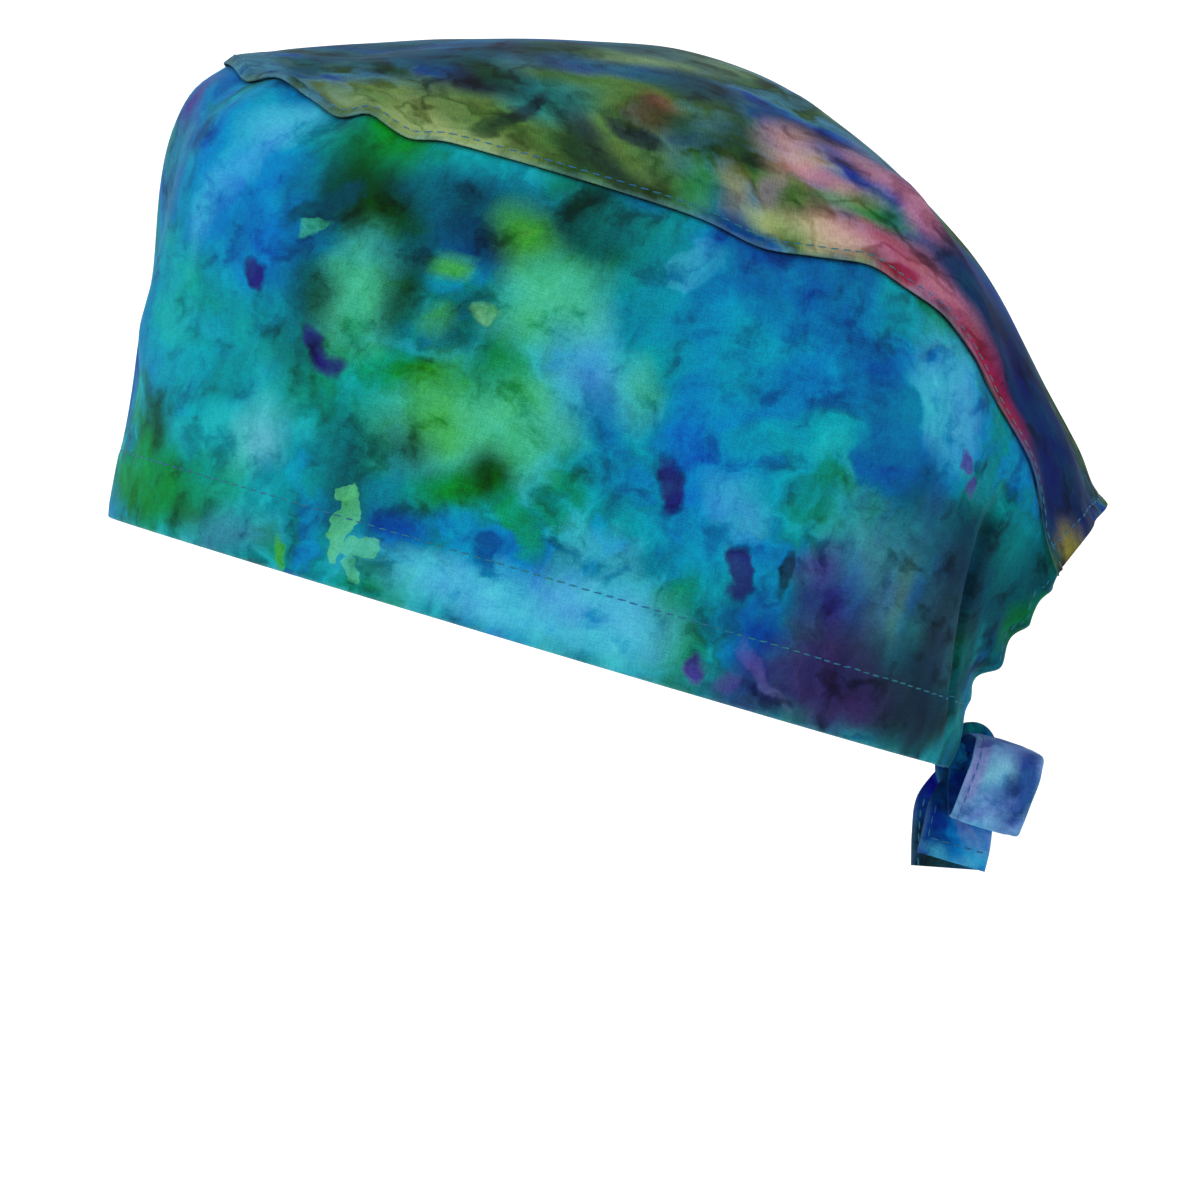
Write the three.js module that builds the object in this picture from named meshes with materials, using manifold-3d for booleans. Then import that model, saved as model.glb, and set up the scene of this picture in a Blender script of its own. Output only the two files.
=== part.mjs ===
// A tie-back surgical scrub cap in the shape that it has when it is worn: a deep side band round the head, a crown
// sewn to the band's top edge that ends in a hemmed tail over the open back, and two ties knotted in a bow below it.
// Units are millimetres. The origin is the middle of the head opening. +X is the wearer's left, +Y the back, +Z up.
// All is laid out square to the rim first, and then tipped so that the rim falls towards the nape.
import * as THREE from 'three';
import { mergeVertices } from 'three/addons/utils/BufferGeometryUtils.js';
import Module from 'manifold-3d';

// Head opening
const RIM_LENGTH = 220; // brow to nape, in the plane of the rim
const RIM_WIDTH = 162; // side to side
const RIM_EGG = 0.06; // share by which the opening widens behind its middle
const RIM_FALL_DEG = 16.6; // slope of the rim down towards the nape
const BACK_GAP = 27; // between the band's two lower back corners

// Side band and crown
const BAND_HEIGHT = 111; // rim to seam over the ear
const BAND_BULGE = 9.5; // how far the band's wall stands out between rim and seam
const SEAM_LENGTH = 232; // the crown's seam, front to back
const SEAM_WIDTH = 140; // the crown's seam, side to side
const CROWN_RISE = 42; // seam to the top of the crown
const CROWN_PUFF = 2.6; // how much squarer than an arc the crown's shoulders are
const CLOTH = 1.2; // one layer of cloth
const RIM_HEM = 19; // turned-up hem round the head opening
const BACK_HEM = 6.5; // hem of the crown's tail and of the band's two back edges
const SEAM_LAP = 4; // how far the crown's edge laps over the band
const SEAM_TUCK = 2; // how far the band's top edge stops short of the seam line, under the lap
const GAP = 0.3; // clearance between neighbouring pieces
const GATHER_DEPTH = 1.5; // ruffles of the band's back edges
const FOLD_DEPTH = 2; // the fold tables' deep 1
const FOLD_WIDTH = 10; // the fold tables' wide 1, from the fold's middle to where it has all but died out
const RIPPLE_DROP = 2.4; // the seam ripples' drop 1
const CREASE_DEPTH = 4.2; // the crease at its deepest
const CREASE_WIDTH = 4; // from the crease's bottom to its shoulder

// Ties and bow
const TIE_WIDTH = 17.5;
const TIE_CLOTH = 1.5; // the tie is folded cloth, thicker than one layer
const TIE_PLEATED = 9; // width of a tie where the knot squeezes it
const TIE_OVERLAP = 13; // length of tie sewn inside the band's corner
const LEAD_EDGE = 0.6; // the sewn tie's lower edge above the rim
const KNOT_LENGTH = 11; // along X
const KNOT_HEIGHT = 20;
const KNOT_DEPTH = 15;
const KNOT_WALL = 3.2; // its thickness round the pleats, at top and bottom
const KNOT_STAND_OFF = 4.5; // knot's middle behind the band's back corners
const KNOT_LIFT = 3; // knot's middle above the rim
const LOOP_LENGTH = 31; // reach of a bow loop from the knot's middle
const LOOP_HEIGHT = 20;
const LEFT_END_LENGTH = 25; // hanging length of each tie's free end, below the knot's middle
const RIGHT_END_LENGTH = 27.5;

// The crown's seam and the ridge line over its top, from the middle of the front (along 0) to the back corner
// (along 1). x and y are shares of half the seam's width and length, z of the band's height, topY of half the seam's length,
// rise of the crown's rise, bulge of the band's bulge, and full of the crown's puff.
const SEAM = [
  { along: 0.0, x: 0.0, y: -0.967, z: 1.057, topY: -0.967, rise: 0.0, bulge: 0.92, full: 0.0 },
  { along: 0.075, x: 0.335, y: -0.944, z: 1.049, topY: -0.967, rise: 0.03, bulge: 0.95, full: 0.0 },
  { along: 0.14, x: 0.59, y: -0.862, z: 1.032, topY: -0.967, rise: 0.075, bulge: 0.95, full: 0.0 },
  { along: 0.21, x: 0.765, y: -0.724, z: 1.009, topY: -0.853, rise: 0.31, bulge: 0.85, full: 0.3 },
  { along: 0.28, x: 0.88, y: -0.569, z: 1.0, topY: -0.69, rise: 0.51, bulge: 0.75, full: 0.6 },
  { along: 0.36, x: 0.955, y: -0.379, z: 1.0, topY: -0.491, rise: 0.7, bulge: 0.68, full: 0.8 },
  { along: 0.44, x: 0.993, y: -0.172, z: 1.0, topY: -0.276, rise: 0.87, bulge: 0.64, full: 0.8 },
  { along: 0.525, x: 1.0, y: 0.043, z: 0.996, topY: -0.043, rise: 1.0, bulge: 0.62, full: 0.8 },
  { along: 0.61, x: 0.99, y: 0.25, z: 0.986, topY: 0.19, rise: 0.985, bulge: 0.62, full: 0.8 },
  { along: 0.685, x: 0.948, y: 0.44, z: 0.99, topY: 0.422, rise: 0.75, bulge: 0.65, full: 0.9 },
  { along: 0.755, x: 0.86, y: 0.599, z: 0.96, topY: 0.638, rise: 0.476, bulge: 0.65, full: 1.0 },
  { along: 0.805, x: 0.785, y: 0.698, z: 0.896, topY: 0.787, rise: 0.298, bulge: 0.6, full: 1.0 },
  { along: 0.855, x: 0.725, y: 0.784, z: 0.806, topY: 0.913, rise: 0.188, bulge: 0.5, full: 1.0 },
  { along: 0.91, x: 0.68, y: 0.888, z: 0.703, topY: 1.009, rise: 0.177, bulge: 0.4, full: 0.9 },
  { along: 0.965, x: 0.615, y: 0.966, z: 0.568, topY: 1.067, rise: 0.348, bulge: 0.2, full: 0.7 },
  { along: 1.0, x: 0.57, y: 1.026, z: 0.491, topY: 1.106, rise: 0.48, bulge: 0.05, full: 0.6 },
];
const CROWN_CORNER = 0.14; // where the seam turns from the brow to the side
const BROW_FADE = 0.07; // how far back the brow's seam lifts the crown
const BROW_BLEND = 0.12; // how far back the brow's outline shapes the crown's rows
const PUFF_SKEW = 1.6; // above 1, the crown's shoulders lie nearer its seam than its top line

// How far the band's wall has bulged at each share of its height.
const BAND_PROFILE = [
  { height: 0.0, out: 0.0 },
  { height: 0.19, out: 0.17 },
  { height: 0.36, out: 0.43 },
  { height: 0.53, out: 0.66 },
  { height: 0.72, out: 1.07 },
  { height: 0.83, out: 1.12 },
  { height: 0.92, out: 0.86 },
  { height: 1.0, out: 0.0 },
];

// Ease in the seam: at each place the seam dips (or, below zero, lifts) by drop, over a stretch of the seam.
// side 1 is the wearer's left and -1 the right. drop is a share of RIPPLE_DROP.
const SEAM_RIPPLES = [
  { side: 1, along: 0.12, stretch: 0.022, drop: 1.0 },
  { side: 1, along: 0.165, stretch: 0.022, drop: -0.67 },
  { side: 1, along: 0.23, stretch: 0.02, drop: 0.83 },
  { side: 1, along: 0.258, stretch: 0.014, drop: -0.58 },
  { side: 1, along: 0.3, stretch: 0.02, drop: 0.75 },
  { side: 1, along: 0.6, stretch: 0.035, drop: 0.75 },
  { side: 1, along: 0.69, stretch: 0.025, drop: -0.67 },
  { side: -1, along: 0.15, stretch: 0.022, drop: 0.92 },
  { side: -1, along: 0.2, stretch: 0.02, drop: -0.67 },
  { side: -1, along: 0.31, stretch: 0.024, drop: 0.75 },
  { side: -1, along: 0.52, stretch: 0.03, drop: 0.58 },
  { side: -1, along: 0.66, stretch: 0.026, drop: -0.67 },
];
const RIM_FOLD_SHARE = 0.1; // how much of a fold's depth is left at the rim
const RIPPLE_REACH = 0.2; // share of the band's height, or of the crown's half arc, over which a dip fades

// Folds of the band: soft ridges (deep above zero) and valleys that run from one place to another.
// along and height are shares of the band, wide and deep of FOLD_WIDTH and FOLD_DEPTH.
const BAND_FOLDS = [
  { side: 1, along: 0.125, height: 0.98, toAlong: 0.045, toHeight: 0.5, wide: 0.9, deep: -0.9 },
  { side: 1, along: 0.17, height: 0.98, toAlong: 0.08, toHeight: 0.42, wide: 1.0, deep: 0.9 },
  { side: 1, along: 0.3, height: 0.97, toAlong: 0.26, toHeight: 0.72, wide: 0.7, deep: -0.7 },
  { side: 1, along: 0.06, height: 0.3, toAlong: 0.05, toHeight: 0.0, wide: 0.9, deep: -0.6 },
  { side: 1, along: 0.84, height: 0.72, toAlong: 0.84, toHeight: 0.48, wide: 1.2, deep: 1.2 },
  { side: -1, along: 0.83, height: 0.7, toAlong: 0.84, toHeight: 0.42, wide: 1.2, deep: 1.0 },
  { side: -1, along: 0.15, height: 0.98, toAlong: 0.07, toHeight: 0.5, wide: 1.0, deep: -0.8 },
  { side: -1, along: 0.2, height: 0.97, toAlong: 0.11, toHeight: 0.4, wide: 1.1, deep: 0.7 },
  { side: 1, along: 1.0, height: 0.34, toAlong: 1.0, toHeight: 0.14, wide: 0.9, deep: -1.2 },
  { side: -1, along: 1.0, height: 0.34, toAlong: 1.0, toHeight: 0.14, wide: 0.9, deep: -1.2 },
];

// The deep crease where the band's back part is drawn in by the tie: at each share of the height its place along the
// band, and its depth as a share of CREASE_DEPTH.
const CREASE = [
  { height: 0.0, along: 0.955, deep: 0.0 },
  { height: 0.155, along: 0.94, deep: 0.29 },
  { height: 0.27, along: 0.922, deep: 0.76 },
  { height: 0.39, along: 0.902, deep: 1.0 },
  { height: 0.5, along: 0.887, deep: 1.0 },
  { height: 0.64, along: 0.876, deep: 0.9 },
  { height: 0.72, along: 0.875, deep: 0.76 },
  { height: 0.815, along: 0.885, deep: 0.43 },
  { height: 0.9, along: 0.89, deep: 0.07 },
  { height: 1.0, along: 0.89, deep: 0.0 },
];
const CREASE_PLACE = 0.89; // where the crease starts under the crown
const CREASE_SET_IN = 0.45; // share of the crease's depth by which the band stays drawn in behind it
const CREASE_RAMP = 2; // crease widths over which the band is drawn in
const CREASE_START = 0.75; // from here back, the wall's lines lean over to follow the crease

// Ruffles of the band's back edges, by share of the height.
const GATHERS = { count: 4.5, from: 0.22, to: 0.97, fade: 0.12 };
const GATHER_REACH = 2.5; // hem widths over which the ruffles die out

// Folds of the crown in the same shares, with across as the share of the way from the top line to the seam.
const CROWN_FOLDS = [
  { side: 1, along: 0.15, across: 0.95, toAlong: 0.3, toAcross: 0.3, wide: 1.1, deep: -0.8 },
  { side: 1, along: 0.62, across: 0.3, toAlong: 0.7, toAcross: 0.62, wide: 0.9, deep: 0.8 },
  { side: 1, along: 0.7, across: 0.62, toAlong: 0.82, toAcross: 0.9, wide: 0.8, deep: 1.2 },
  { side: 1, along: 0.86, across: 0.45, toAlong: 1.0, toAcross: 0.5, wide: 1.1, deep: -0.8 },
  { side: -1, along: 0.16, across: 0.95, toAlong: 0.27, toAcross: 0.45, wide: 1.1, deep: -0.6 },
  { side: -1, along: 0.74, across: 0.5, toAlong: 0.95, toAcross: 0.6, wide: 0.8, deep: 1.1 },
];

// The bow's routes. Rows hold x from the knot's end outwards as a share of the loop's reach, z up from the knot's
// middle as a share of half the loop's height or of the end's length, and y towards the back as a share of the tie's
// width. spread is 0 where the tie is pleated and 1 at full width, and lean tips the back edge up by shares of width.
const LOOP = [
  { x: 0.0, y: 0.0, z: 0.16, spread: 0.0 },
  { x: 0.16, y: 0.08, z: 0.4, spread: 0.3 },
  { x: 0.34, y: 0.26, z: 0.66, spread: 0.7 },
  { x: 0.56, y: 0.42, z: 0.64, spread: 0.95 },
  { x: 0.8, y: 0.45, z: 0.56, spread: 1.0 },
  { x: 0.94, y: 0.45, z: 0.36, spread: 1.0 },
  { x: 1.0, y: 0.46, z: 0.04, spread: 1.0 },
  { x: 0.97, y: 0.44, z: -0.36, spread: 1.0 },
  { x: 0.84, y: 0.42, z: -0.92, spread: 1.0 },
  { x: 0.7, y: 0.41, z: -1.12, spread: 1.0 },
  { x: 0.52, y: 0.36, z: -1.06, spread: 0.9 },
  { x: 0.32, y: 0.22, z: -0.74, spread: 0.6 },
  { x: 0.14, y: 0.08, z: -0.36, spread: 0.25 },
  { x: 0.0, y: 0.0, z: -0.16, spread: 0.0 },
];
const LEFT_END = [
  { x: 0.0, y: 0.0, z: -0.1, spread: 0.0 },
  { x: 0.16, y: 0.02, z: -0.24, spread: 0.3 },
  { x: 0.3, y: 0.07, z: -0.48, spread: 0.85 },
  { x: 0.36, y: 0.12, z: -0.76, spread: 1.0 },
  { x: 0.38, y: 0.14, z: -1.0, spread: 1.0 },
];
const RIGHT_END = [
  { x: 0.0, y: 0.0, z: -0.1, spread: 0.0 },
  { x: 0.14, y: -0.03, z: -0.2, spread: 0.3 },
  { x: 0.24, y: -0.02, z: -0.42, spread: 0.9, lean: 0.06 },
  { x: 0.28, y: 0.08, z: -0.72, spread: 1.0, lean: 0.09 },
  { x: 0.26, y: 0.2, z: -1.0, spread: 1.0, lean: 0.11 },
];

const COLOURS = { azure: 0x1f8fb0, green: 0x5f8a4e, periwinkle: 0x3a66b8, royalBlue: 0x24508a, teal: 0x1d7a78 };

// The number of facets
const FRONT_STEPS = 10; // half the brow, and half the crown's width
const SIDE_STEPS = 30; // brow to the crease
const BACK_STEPS = 8; // crease to the back hem
const BACK_CROWDING = 0.4; // how much closer the side's steps lie at the back, where the folds are
const WALL_HEIGHTS = [0.3, 0.42, 0.54, 0.64, 0.73, 0.81, 0.88, 0.935]; // rows between the rim's hem and the lap
const LEAD_STEPS = 5; // sewn end of a tie
const TURN_STEPS = 3; // from the band's corner into the knot
const PLEAT_FACETS = 14;
const KNOT_FACETS = 20;

const FOLD_OPEN = { from: 0.1, to: 0.3 }; // heights over which a fold of the band reaches its full depth
const EDGE_LIFT = 0.75; // share of the crown's half arc from which its edge rises to lap over the band
const EDGE_FLAT = 0.9; // share of the crown's half arc from which its folds die out
const WIDEST = 0.525; // place along the seam where the crown's folds are measured across
const HEM_SHARE = 0.8; // the crown's hem is doubled up to here, short of the band's own hem
const MEASURE_STEPS = 60; // steps by which a line's length is measured
const NUDGE = 0.004; // step in shares by which a surface's slope is read
const WELD = 1e-4;
const TINY = 1e-6;

const mix = (a, b, t) => a + (b - a) * t;
const clamp01 = (t) => Math.min(1, Math.max(0, t));
const smooth = (t) => clamp01(t) ** 2 * (3 - 2 * clamp01(t));
const ramp = (from, to, t) => smooth((t - from) / (to - from));
const at = (x, y, z) => new THREE.Vector3(x, y, z);
const between = (from, to, steps) => Array.from({ length: steps + 1 }, (_, i) => mix(from, to, i / steps));

// The length of a line, which is given as a point at each share of it.
const lengthOf = (line) =>
  between(0, 1, MEASURE_STEPS)
    .map(line)
    .reduce((sum, point, i, points) => sum + (i ? point.distanceTo(points[i - 1]) : 0), 0);

// A smooth curve through a table's rows: key is the column that runs along it, column the one that is read.
function curveThrough(rows, key, column) {
  const slope = (i) => {
    const before = rows[Math.max(0, i - 1)];
    const after = rows[Math.min(rows.length - 1, i + 1)];
    return (after[column] - before[column]) / (after[key] - before[key]);
  };
  return (place) => {
    const found = rows.findIndex((row) => row[key] >= place);
    const i = Math.max(1, found < 0 ? rows.length - 1 : found);
    const [a, b] = [rows[i - 1], rows[i]];
    const step = b[key] - a[key];
    const t = (place - a[key]) / step;
    const h = t * t * (3 - 2 * t);
    return mix(a[column], b[column], h) + step * t * (1 - t) * ((1 - t) * slope(i - 1) - t * slope(i));
  };
}

// The table goes on past the middle of the front with its mirror image, so that curves cross the front smoothly.
const mirrored = SEAM.slice(1).map((row) => ({ ...row, along: -row.along, x: -row.x }));
const WHOLE_SEAM = [...mirrored.reverse(), ...SEAM];
const seamTable = Object.fromEntries(
  ['x', 'y', 'z', 'bulge'].map((column) => [column, curveThrough(WHOLE_SEAM, 'along', column)]),
);
const TOP_ROWS = SEAM.filter((row) => row.along >= CROWN_CORNER);
const topTable = Object.fromEntries(
  ['topY', 'rise', 'full'].map((column) => [column, curveThrough(TOP_ROWS, 'along', column)]),
);
const bandProfile = curveThrough(BAND_PROFILE, 'height', 'out');
const creaseAlong = curveThrough(CREASE, 'height', 'along');
const creaseDepth = curveThrough(CREASE, 'height', 'deep');

// The rim: an egg-shaped oval from the middle of the brow (0) round to the left (1) and right (-1) back corners.
const RIM_END = Math.PI - Math.asin(BACK_GAP / RIM_WIDTH);
function rimPoint(along) {
  const angle = along * RIM_END;
  const y = -Math.cos(angle);
  const atCorner = -Math.cos(RIM_END);
  const egg = 1 + RIM_EGG * (y - atCorner * along * along);
  return at((RIM_WIDTH / 2) * Math.sin(angle) * egg, (RIM_LENGTH / 2) * y, 0);
}

function rimOutward(along) {
  const run = rimPoint(along + NUDGE).sub(rimPoint(along - NUDGE));
  return at(run.y, -run.x, 0).normalize();
}

function seamBase(along) {
  const [x, y, z] = ['x', 'y', 'z'].map((column) => seamTable[column](along));
  return at((x * SEAM_WIDTH) / 2, (y * SEAM_LENGTH) / 2, z * BAND_HEIGHT);
}

function seamDrop(along) {
  const side = along < 0 ? -1 : 1;
  return SEAM_RIPPLES.filter((ripple) => ripple.side === side).reduce((sum, ripple) => {
    const away = (Math.abs(along) - ripple.along) / ripple.stretch;
    return sum + ripple.drop * RIPPLE_DROP * Math.exp(-away * away);
  }, 0);
}

// What the folds of a table add at a place, given the two shares and what each share measures in millimetres there.
function foldHeight(folds, second, along, other, alongLength, otherLength) {
  const side = along < 0 ? -1 : 1;
  const toSecond = 'to' + second[0].toUpperCase() + second.slice(1);
  let sum = 0;
  for (const fold of folds) {
    if (fold.side !== side) continue;
    const start = [fold.along * alongLength, fold[second] * otherLength];
    const run = [fold.toAlong * alongLength - start[0], fold[toSecond] * otherLength - start[1]];
    const here = [Math.abs(along) * alongLength - start[0], other * otherLength - start[1]];
    const share = clamp01((here[0] * run[0] + here[1] * run[1]) / (run[0] ** 2 + run[1] ** 2));
    const away = Math.hypot(here[0] - share * run[0], here[1] - share * run[1]) / (fold.wide * FOLD_WIDTH);
    sum += fold.deep * FOLD_DEPTH * Math.exp(-away * away);
  }
  return sum;
}

// The band's outer face before its folds.
function bandBase(along, height) {
  const out = seamTable.bulge(along) * BAND_BULGE * bandProfile(height);
  const point = rimPoint(along).lerp(seamBase(along), height).addScaledVector(rimOutward(along), out);
  point.z -= seamDrop(along) * ramp(1 - RIPPLE_REACH, 1, height);
  return point;
}

function outwardOf(surface, first, second) {
  const run = surface(first + NUDGE, second).sub(surface(first - NUDGE, second));
  const rise = surface(first, Math.min(1, second + NUDGE)).sub(surface(first, Math.max(0, second - NUDGE)));
  return run.cross(rise).normalize();
}

const LAP_SHARE = SEAM_LAP / BAND_HEIGHT;
const BAND_HALF_LENGTH = lengthOf(rimPoint);

// Ruffles where the back edge's hem is gathered: none at the tie's corner or under the crown.
function gather(along, height) {
  const { count, from, to, fade } = GATHERS;
  const fromEdge = ((1 - Math.abs(along)) * BAND_HALF_LENGTH) / (GATHER_REACH * BACK_HEM);
  const share = (1 - smooth(fromEdge)) * ramp(from, from + fade, height) * ramp(to, to - fade, height);
  return GATHER_DEPTH * share * Math.sin(2 * Math.PI * count * height);
}

function crease(along, height) {
  const behind = ((Math.abs(along) - creaseAlong(height)) * BAND_HALF_LENGTH) / CREASE_WIDTH;
  const setIn = CREASE_SET_IN * ramp(-CREASE_RAMP, 0, behind);
  return -CREASE_DEPTH * creaseDepth(height) * Math.max(setIn, Math.exp(-behind * behind));
}

function bandPoint(along, height) {
  const clearOfLap = ramp(1 - LAP_SHARE, 1 - 3 * LAP_SHARE, height);
  const open = clearOfLap * mix(RIM_FOLD_SHARE, 1, ramp(FOLD_OPEN.from, FOLD_OPEN.to, height));
  const fold = foldHeight(BAND_FOLDS, 'height', along, height, BAND_HALF_LENGTH, BAND_HEIGHT) * open;
  const drawn = fold + crease(along, height) + gather(along, height);
  return bandBase(along, height).addScaledVector(outwardOf(bandBase, along, height), drawn);
}

const bandOutward = (along, height) => outwardOf(bandBase, along, height);

const seamTop = (along) =>
  at(
    0,
    (topTable.topY(along) * SEAM_LENGTH) / 2,
    seamTable.z(along) * BAND_HEIGHT + topTable.rise(along) * CROWN_RISE,
  );

// How much a place on the crown belongs to the brow's seam: all on the first row, and nothing at the side's seam.
const browShare = (along, share) => 1 - smooth((along - CROWN_CORNER) / (BROW_FADE * (1 - share) + TINY));

// The crown before its folds: rows that arch over from one side's seam to the other's, at a place along the seam.
// across is 0 on the top line and 1 or -1 at the seam. The first row is the seam across the brow itself.
function crownBase(along, across) {
  const share = Math.abs(across);
  const side = across < 0 ? -1 : 1;
  const [end, top] = [seamBase(along), along <= CROWN_CORNER ? seamBase(0) : seamTop(along)];
  const fall = end.clone().sub(top).setX(0);
  const reach = end.x;
  const turn = 2 * Math.atan(fall.length() / reach);
  const arc = {
    out: Math.sin(share * turn) / Math.sin(turn),
    down: (1 - Math.cos(share * turn)) / (1 - Math.cos(turn)),
  };
  const [front, corner] = [seamBase(CROWN_CORNER * share), seamBase(CROWN_CORNER)];
  const brow = { out: front.x / corner.x, down: (front.y - seamBase(0).y) / (corner.y - seamBase(0).y) };
  const fromBrow = ramp(CROWN_CORNER, CROWN_CORNER + BROW_BLEND, along);
  const out = mix(brow.out, arc.out, fromBrow);
  const down = mix(brow.down, arc.down, fromBrow);
  const puff = CROWN_PUFF * topTable.full(along) * Math.sin(Math.PI * share ** PUFF_SKEW) ** 2 * fromBrow;
  const point = top.addScaledVector(fall, down).setX((reach + puff) * out);
  point.addScaledVector(fall.normalize(), -puff);
  const sideDrop = seamDrop(side * along) * ramp(1 - RIPPLE_REACH, 1, share);
  point.z -= mix(sideDrop, seamDrop(side * CROWN_CORNER * share), browShare(along, share));
  return point.setX(point.x * side);
}

const CROWN_HALF_LENGTH = lengthOf(seamBase);
const CROWN_HALF_WIDTH = lengthOf((across) => crownBase(WIDEST, across));

function crownPoint(along, across) {
  const share = Math.abs(across);
  const side = across < 0 ? -1 : 1;
  const edge = ramp(EDGE_LIFT, 1, share);
  const brow = browShare(along, share);
  const seamAt = mix(side * along, CROWN_CORNER * across, brow);
  const lift = (CLOTH + GAP) * Math.max(edge, brow);
  const open = ramp(1, EDGE_FLAT, share) * (1 - brow);
  const fold = foldHeight(CROWN_FOLDS, 'across', side * along, share, CROWN_HALF_LENGTH, CROWN_HALF_WIDTH) * open;
  const outward = outwardOf((a, b) => crownBase(b, a), across, Math.max(along, CROWN_CORNER));
  return crownBase(along, across)
    .addScaledVector(outward, fold)
    .addScaledVector(bandOutward(seamAt, 1), lift);
}

// A closed wall from its outer face: points, the wall's thickness at each, and faces that go round them outwards.
function wall({ points, thickness, faces }) {
  const count = points.length;
  const outward = points.map(() => at(0, 0, 0));
  const triangles = faces.flatMap(([a, b, c, d]) => (d === undefined ? [[a, b, c]] : [[a, b, c], [a, c, d]]));
  const edges = new Map();
  for (const [a, b, c] of triangles) {
    const facing = points[b].clone().sub(points[a]).cross(points[c].clone().sub(points[a]));
    for (const [from, to] of [[a, b], [b, c], [c, a]]) {
      outward[from].add(facing);
      if (!edges.delete(`${to},${from}`)) edges.set(`${from},${to}`, [from, to]);
    }
  }
  const inner = points.map((point, i) => point.clone().addScaledVector(outward[i].normalize(), -thickness[i]));
  const index = triangles.flat();
  for (const [a, b, c] of triangles) index.push(count + a, count + c, count + b);
  for (const [from, to] of edges.values()) index.push(from, count + from, to, to, count + from, count + to);
  const positions = [...points, ...inner].flatMap((point) => point.toArray());
  const geometry = new THREE.BufferGeometry();
  geometry.setAttribute('position', new THREE.Float32BufferAttribute(positions, 3));
  geometry.setIndex(index);
  return geometry;
}

const STEP = 0.25; // half the width of the step where a hem's second layer ends

// Places along the seam, the same for band and crown so that their facets meet: brow, sides and back hem.
const HEM_START = 1 - BACK_HEM / BAND_HALF_LENGTH;
const STEP_SHARE = STEP / BAND_HALF_LENGTH;
const SIDE_PLACES = [
  ...between(0, 1, SIDE_STEPS)
    .map((t) => t + (BACK_CROWDING * Math.sin(Math.PI * t)) / Math.PI)
    .map((t) => mix(CROWN_CORNER, CREASE_PLACE, t)),
  ...between(CREASE_PLACE, HEM_START - STEP_SHARE, BACK_STEPS).slice(1),
  HEM_START + STEP_SHARE,
  1,
];
const BROW_PLACES = between(0, CROWN_CORNER, FRONT_STEPS).slice(0, -1);
const HALF_PLACES = [...BROW_PLACES, ...SIDE_PLACES];
const PLACES = [...HALF_PLACES.slice(1).map((place) => -place).reverse(), ...HALF_PLACES];

// The band's columns lean over near the crease, so that one of them runs down it.
function leaning(place, height) {
  const [share, line] = [Math.abs(place), creaseAlong(height)];
  const hem = HEM_START - STEP_SHARE;
  if (share <= CREASE_START || share >= hem) return place;
  const before = mix(CREASE_START, line, (share - CREASE_START) / (CREASE_PLACE - CREASE_START));
  const behind = mix(line, hem, (share - CREASE_PLACE) / (hem - CREASE_PLACE));
  return Math.sign(place) * (share < CREASE_PLACE ? before : behind);
}

function sideBand() {
  const hem = RIM_HEM / BAND_HEIGHT;
  const step = STEP / BAND_HEIGHT;
  const heights = [0, hem - step, hem + step, ...WALL_HEIGHTS, 1 - LAP_SHARE, 1 - SEAM_TUCK / BAND_HEIGHT];
  const points = [];
  const thickness = [];
  const faces = [];
  for (const height of heights)
    for (const place of PLACES) {
      points.push(bandPoint(leaning(place, height), height));
      const hemmed = height < hem || (Math.abs(place) > HEM_START && height < 1 - LAP_SHARE);
      thickness.push(hemmed ? 2 * CLOTH : CLOTH);
    }
  const across = PLACES.length;
  for (let row = 0; row + 1 < heights.length; row++)
    for (let i = 0; i + 1 < across; i++) {
      const corner = row * across + i;
      faces.push([corner, corner + 1, corner + across + 1, corner + across]);
    }
  return wall({ points, thickness, faces });
}

function crown() {
  const shares = between(-1, 1, 2 * FRONT_STEPS);
  const across = shares.length;
  const points = [];
  const thickness = [];
  const faces = [];
  for (const place of SIDE_PLACES)
    for (const share of shares) {
      points.push(crownPoint(place, share));
      thickness.push(place > HEM_START && Math.abs(share) < HEM_SHARE ? 2 * CLOTH : CLOTH);
    }
  for (let row = 0; row + 1 < SIDE_PLACES.length; row++)
    for (let i = 0; i + 1 < across; i++) {
      const corner = row * across + i;
      faces.push([corner, corner + 1, corner + across + 1, corner + across]);
    }
  // The lap: from the crown's edge, right back corner round the brow to the left one, down over the band.
  const rows = SIDE_PLACES.map((_, row) => row * across);
  const brow = shares.map((_, i) => i);
  const edge = [...rows.slice(1).reverse(), ...brow, ...rows.slice(1).map((row) => row + across - 1)];
  const lap = points.length;
  PLACES.forEach((place) => {
    const height = 1 - LAP_SHARE;
    points.push(bandPoint(place, height).addScaledVector(bandOutward(place, height), CLOTH + GAP));
    thickness.push(CLOTH);
  });
  for (let i = 0; i + 1 < PLACES.length; i++) faces.push([edge[i], lap + i, lap + i + 1, edge[i + 1]]);
  return wall({ points, thickness, faces });
}

// A strip of cloth from rows of points on its outer face, each row going across the strip.
function strip(rows, cloth) {
  const across = rows[0].length;
  const points = rows.flat();
  const faces = [];
  for (let row = 0; row + 1 < rows.length; row++)
    for (let i = 0; i + 1 < across; i++) {
      const corner = row * across + i;
      faces.push([corner, corner + 1, corner + across + 1, corner + across]);
    }
  return wall({ points, thickness: points.map(() => cloth), faces });
}

const wasm = await Module();
wasm.setup();

function solidOf(geometry) {
  const bare = geometry.clone();
  bare.deleteAttribute('normal');
  bare.deleteAttribute('uv');
  const merged = mergeVertices(bare, WELD);
  return new wasm.Manifold(
    new wasm.Mesh({
      numProp: 3,
      vertProperties: new Float32Array(merged.attributes.position.array),
      triVerts: new Uint32Array(merged.index.array),
    }),
  );
}

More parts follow.
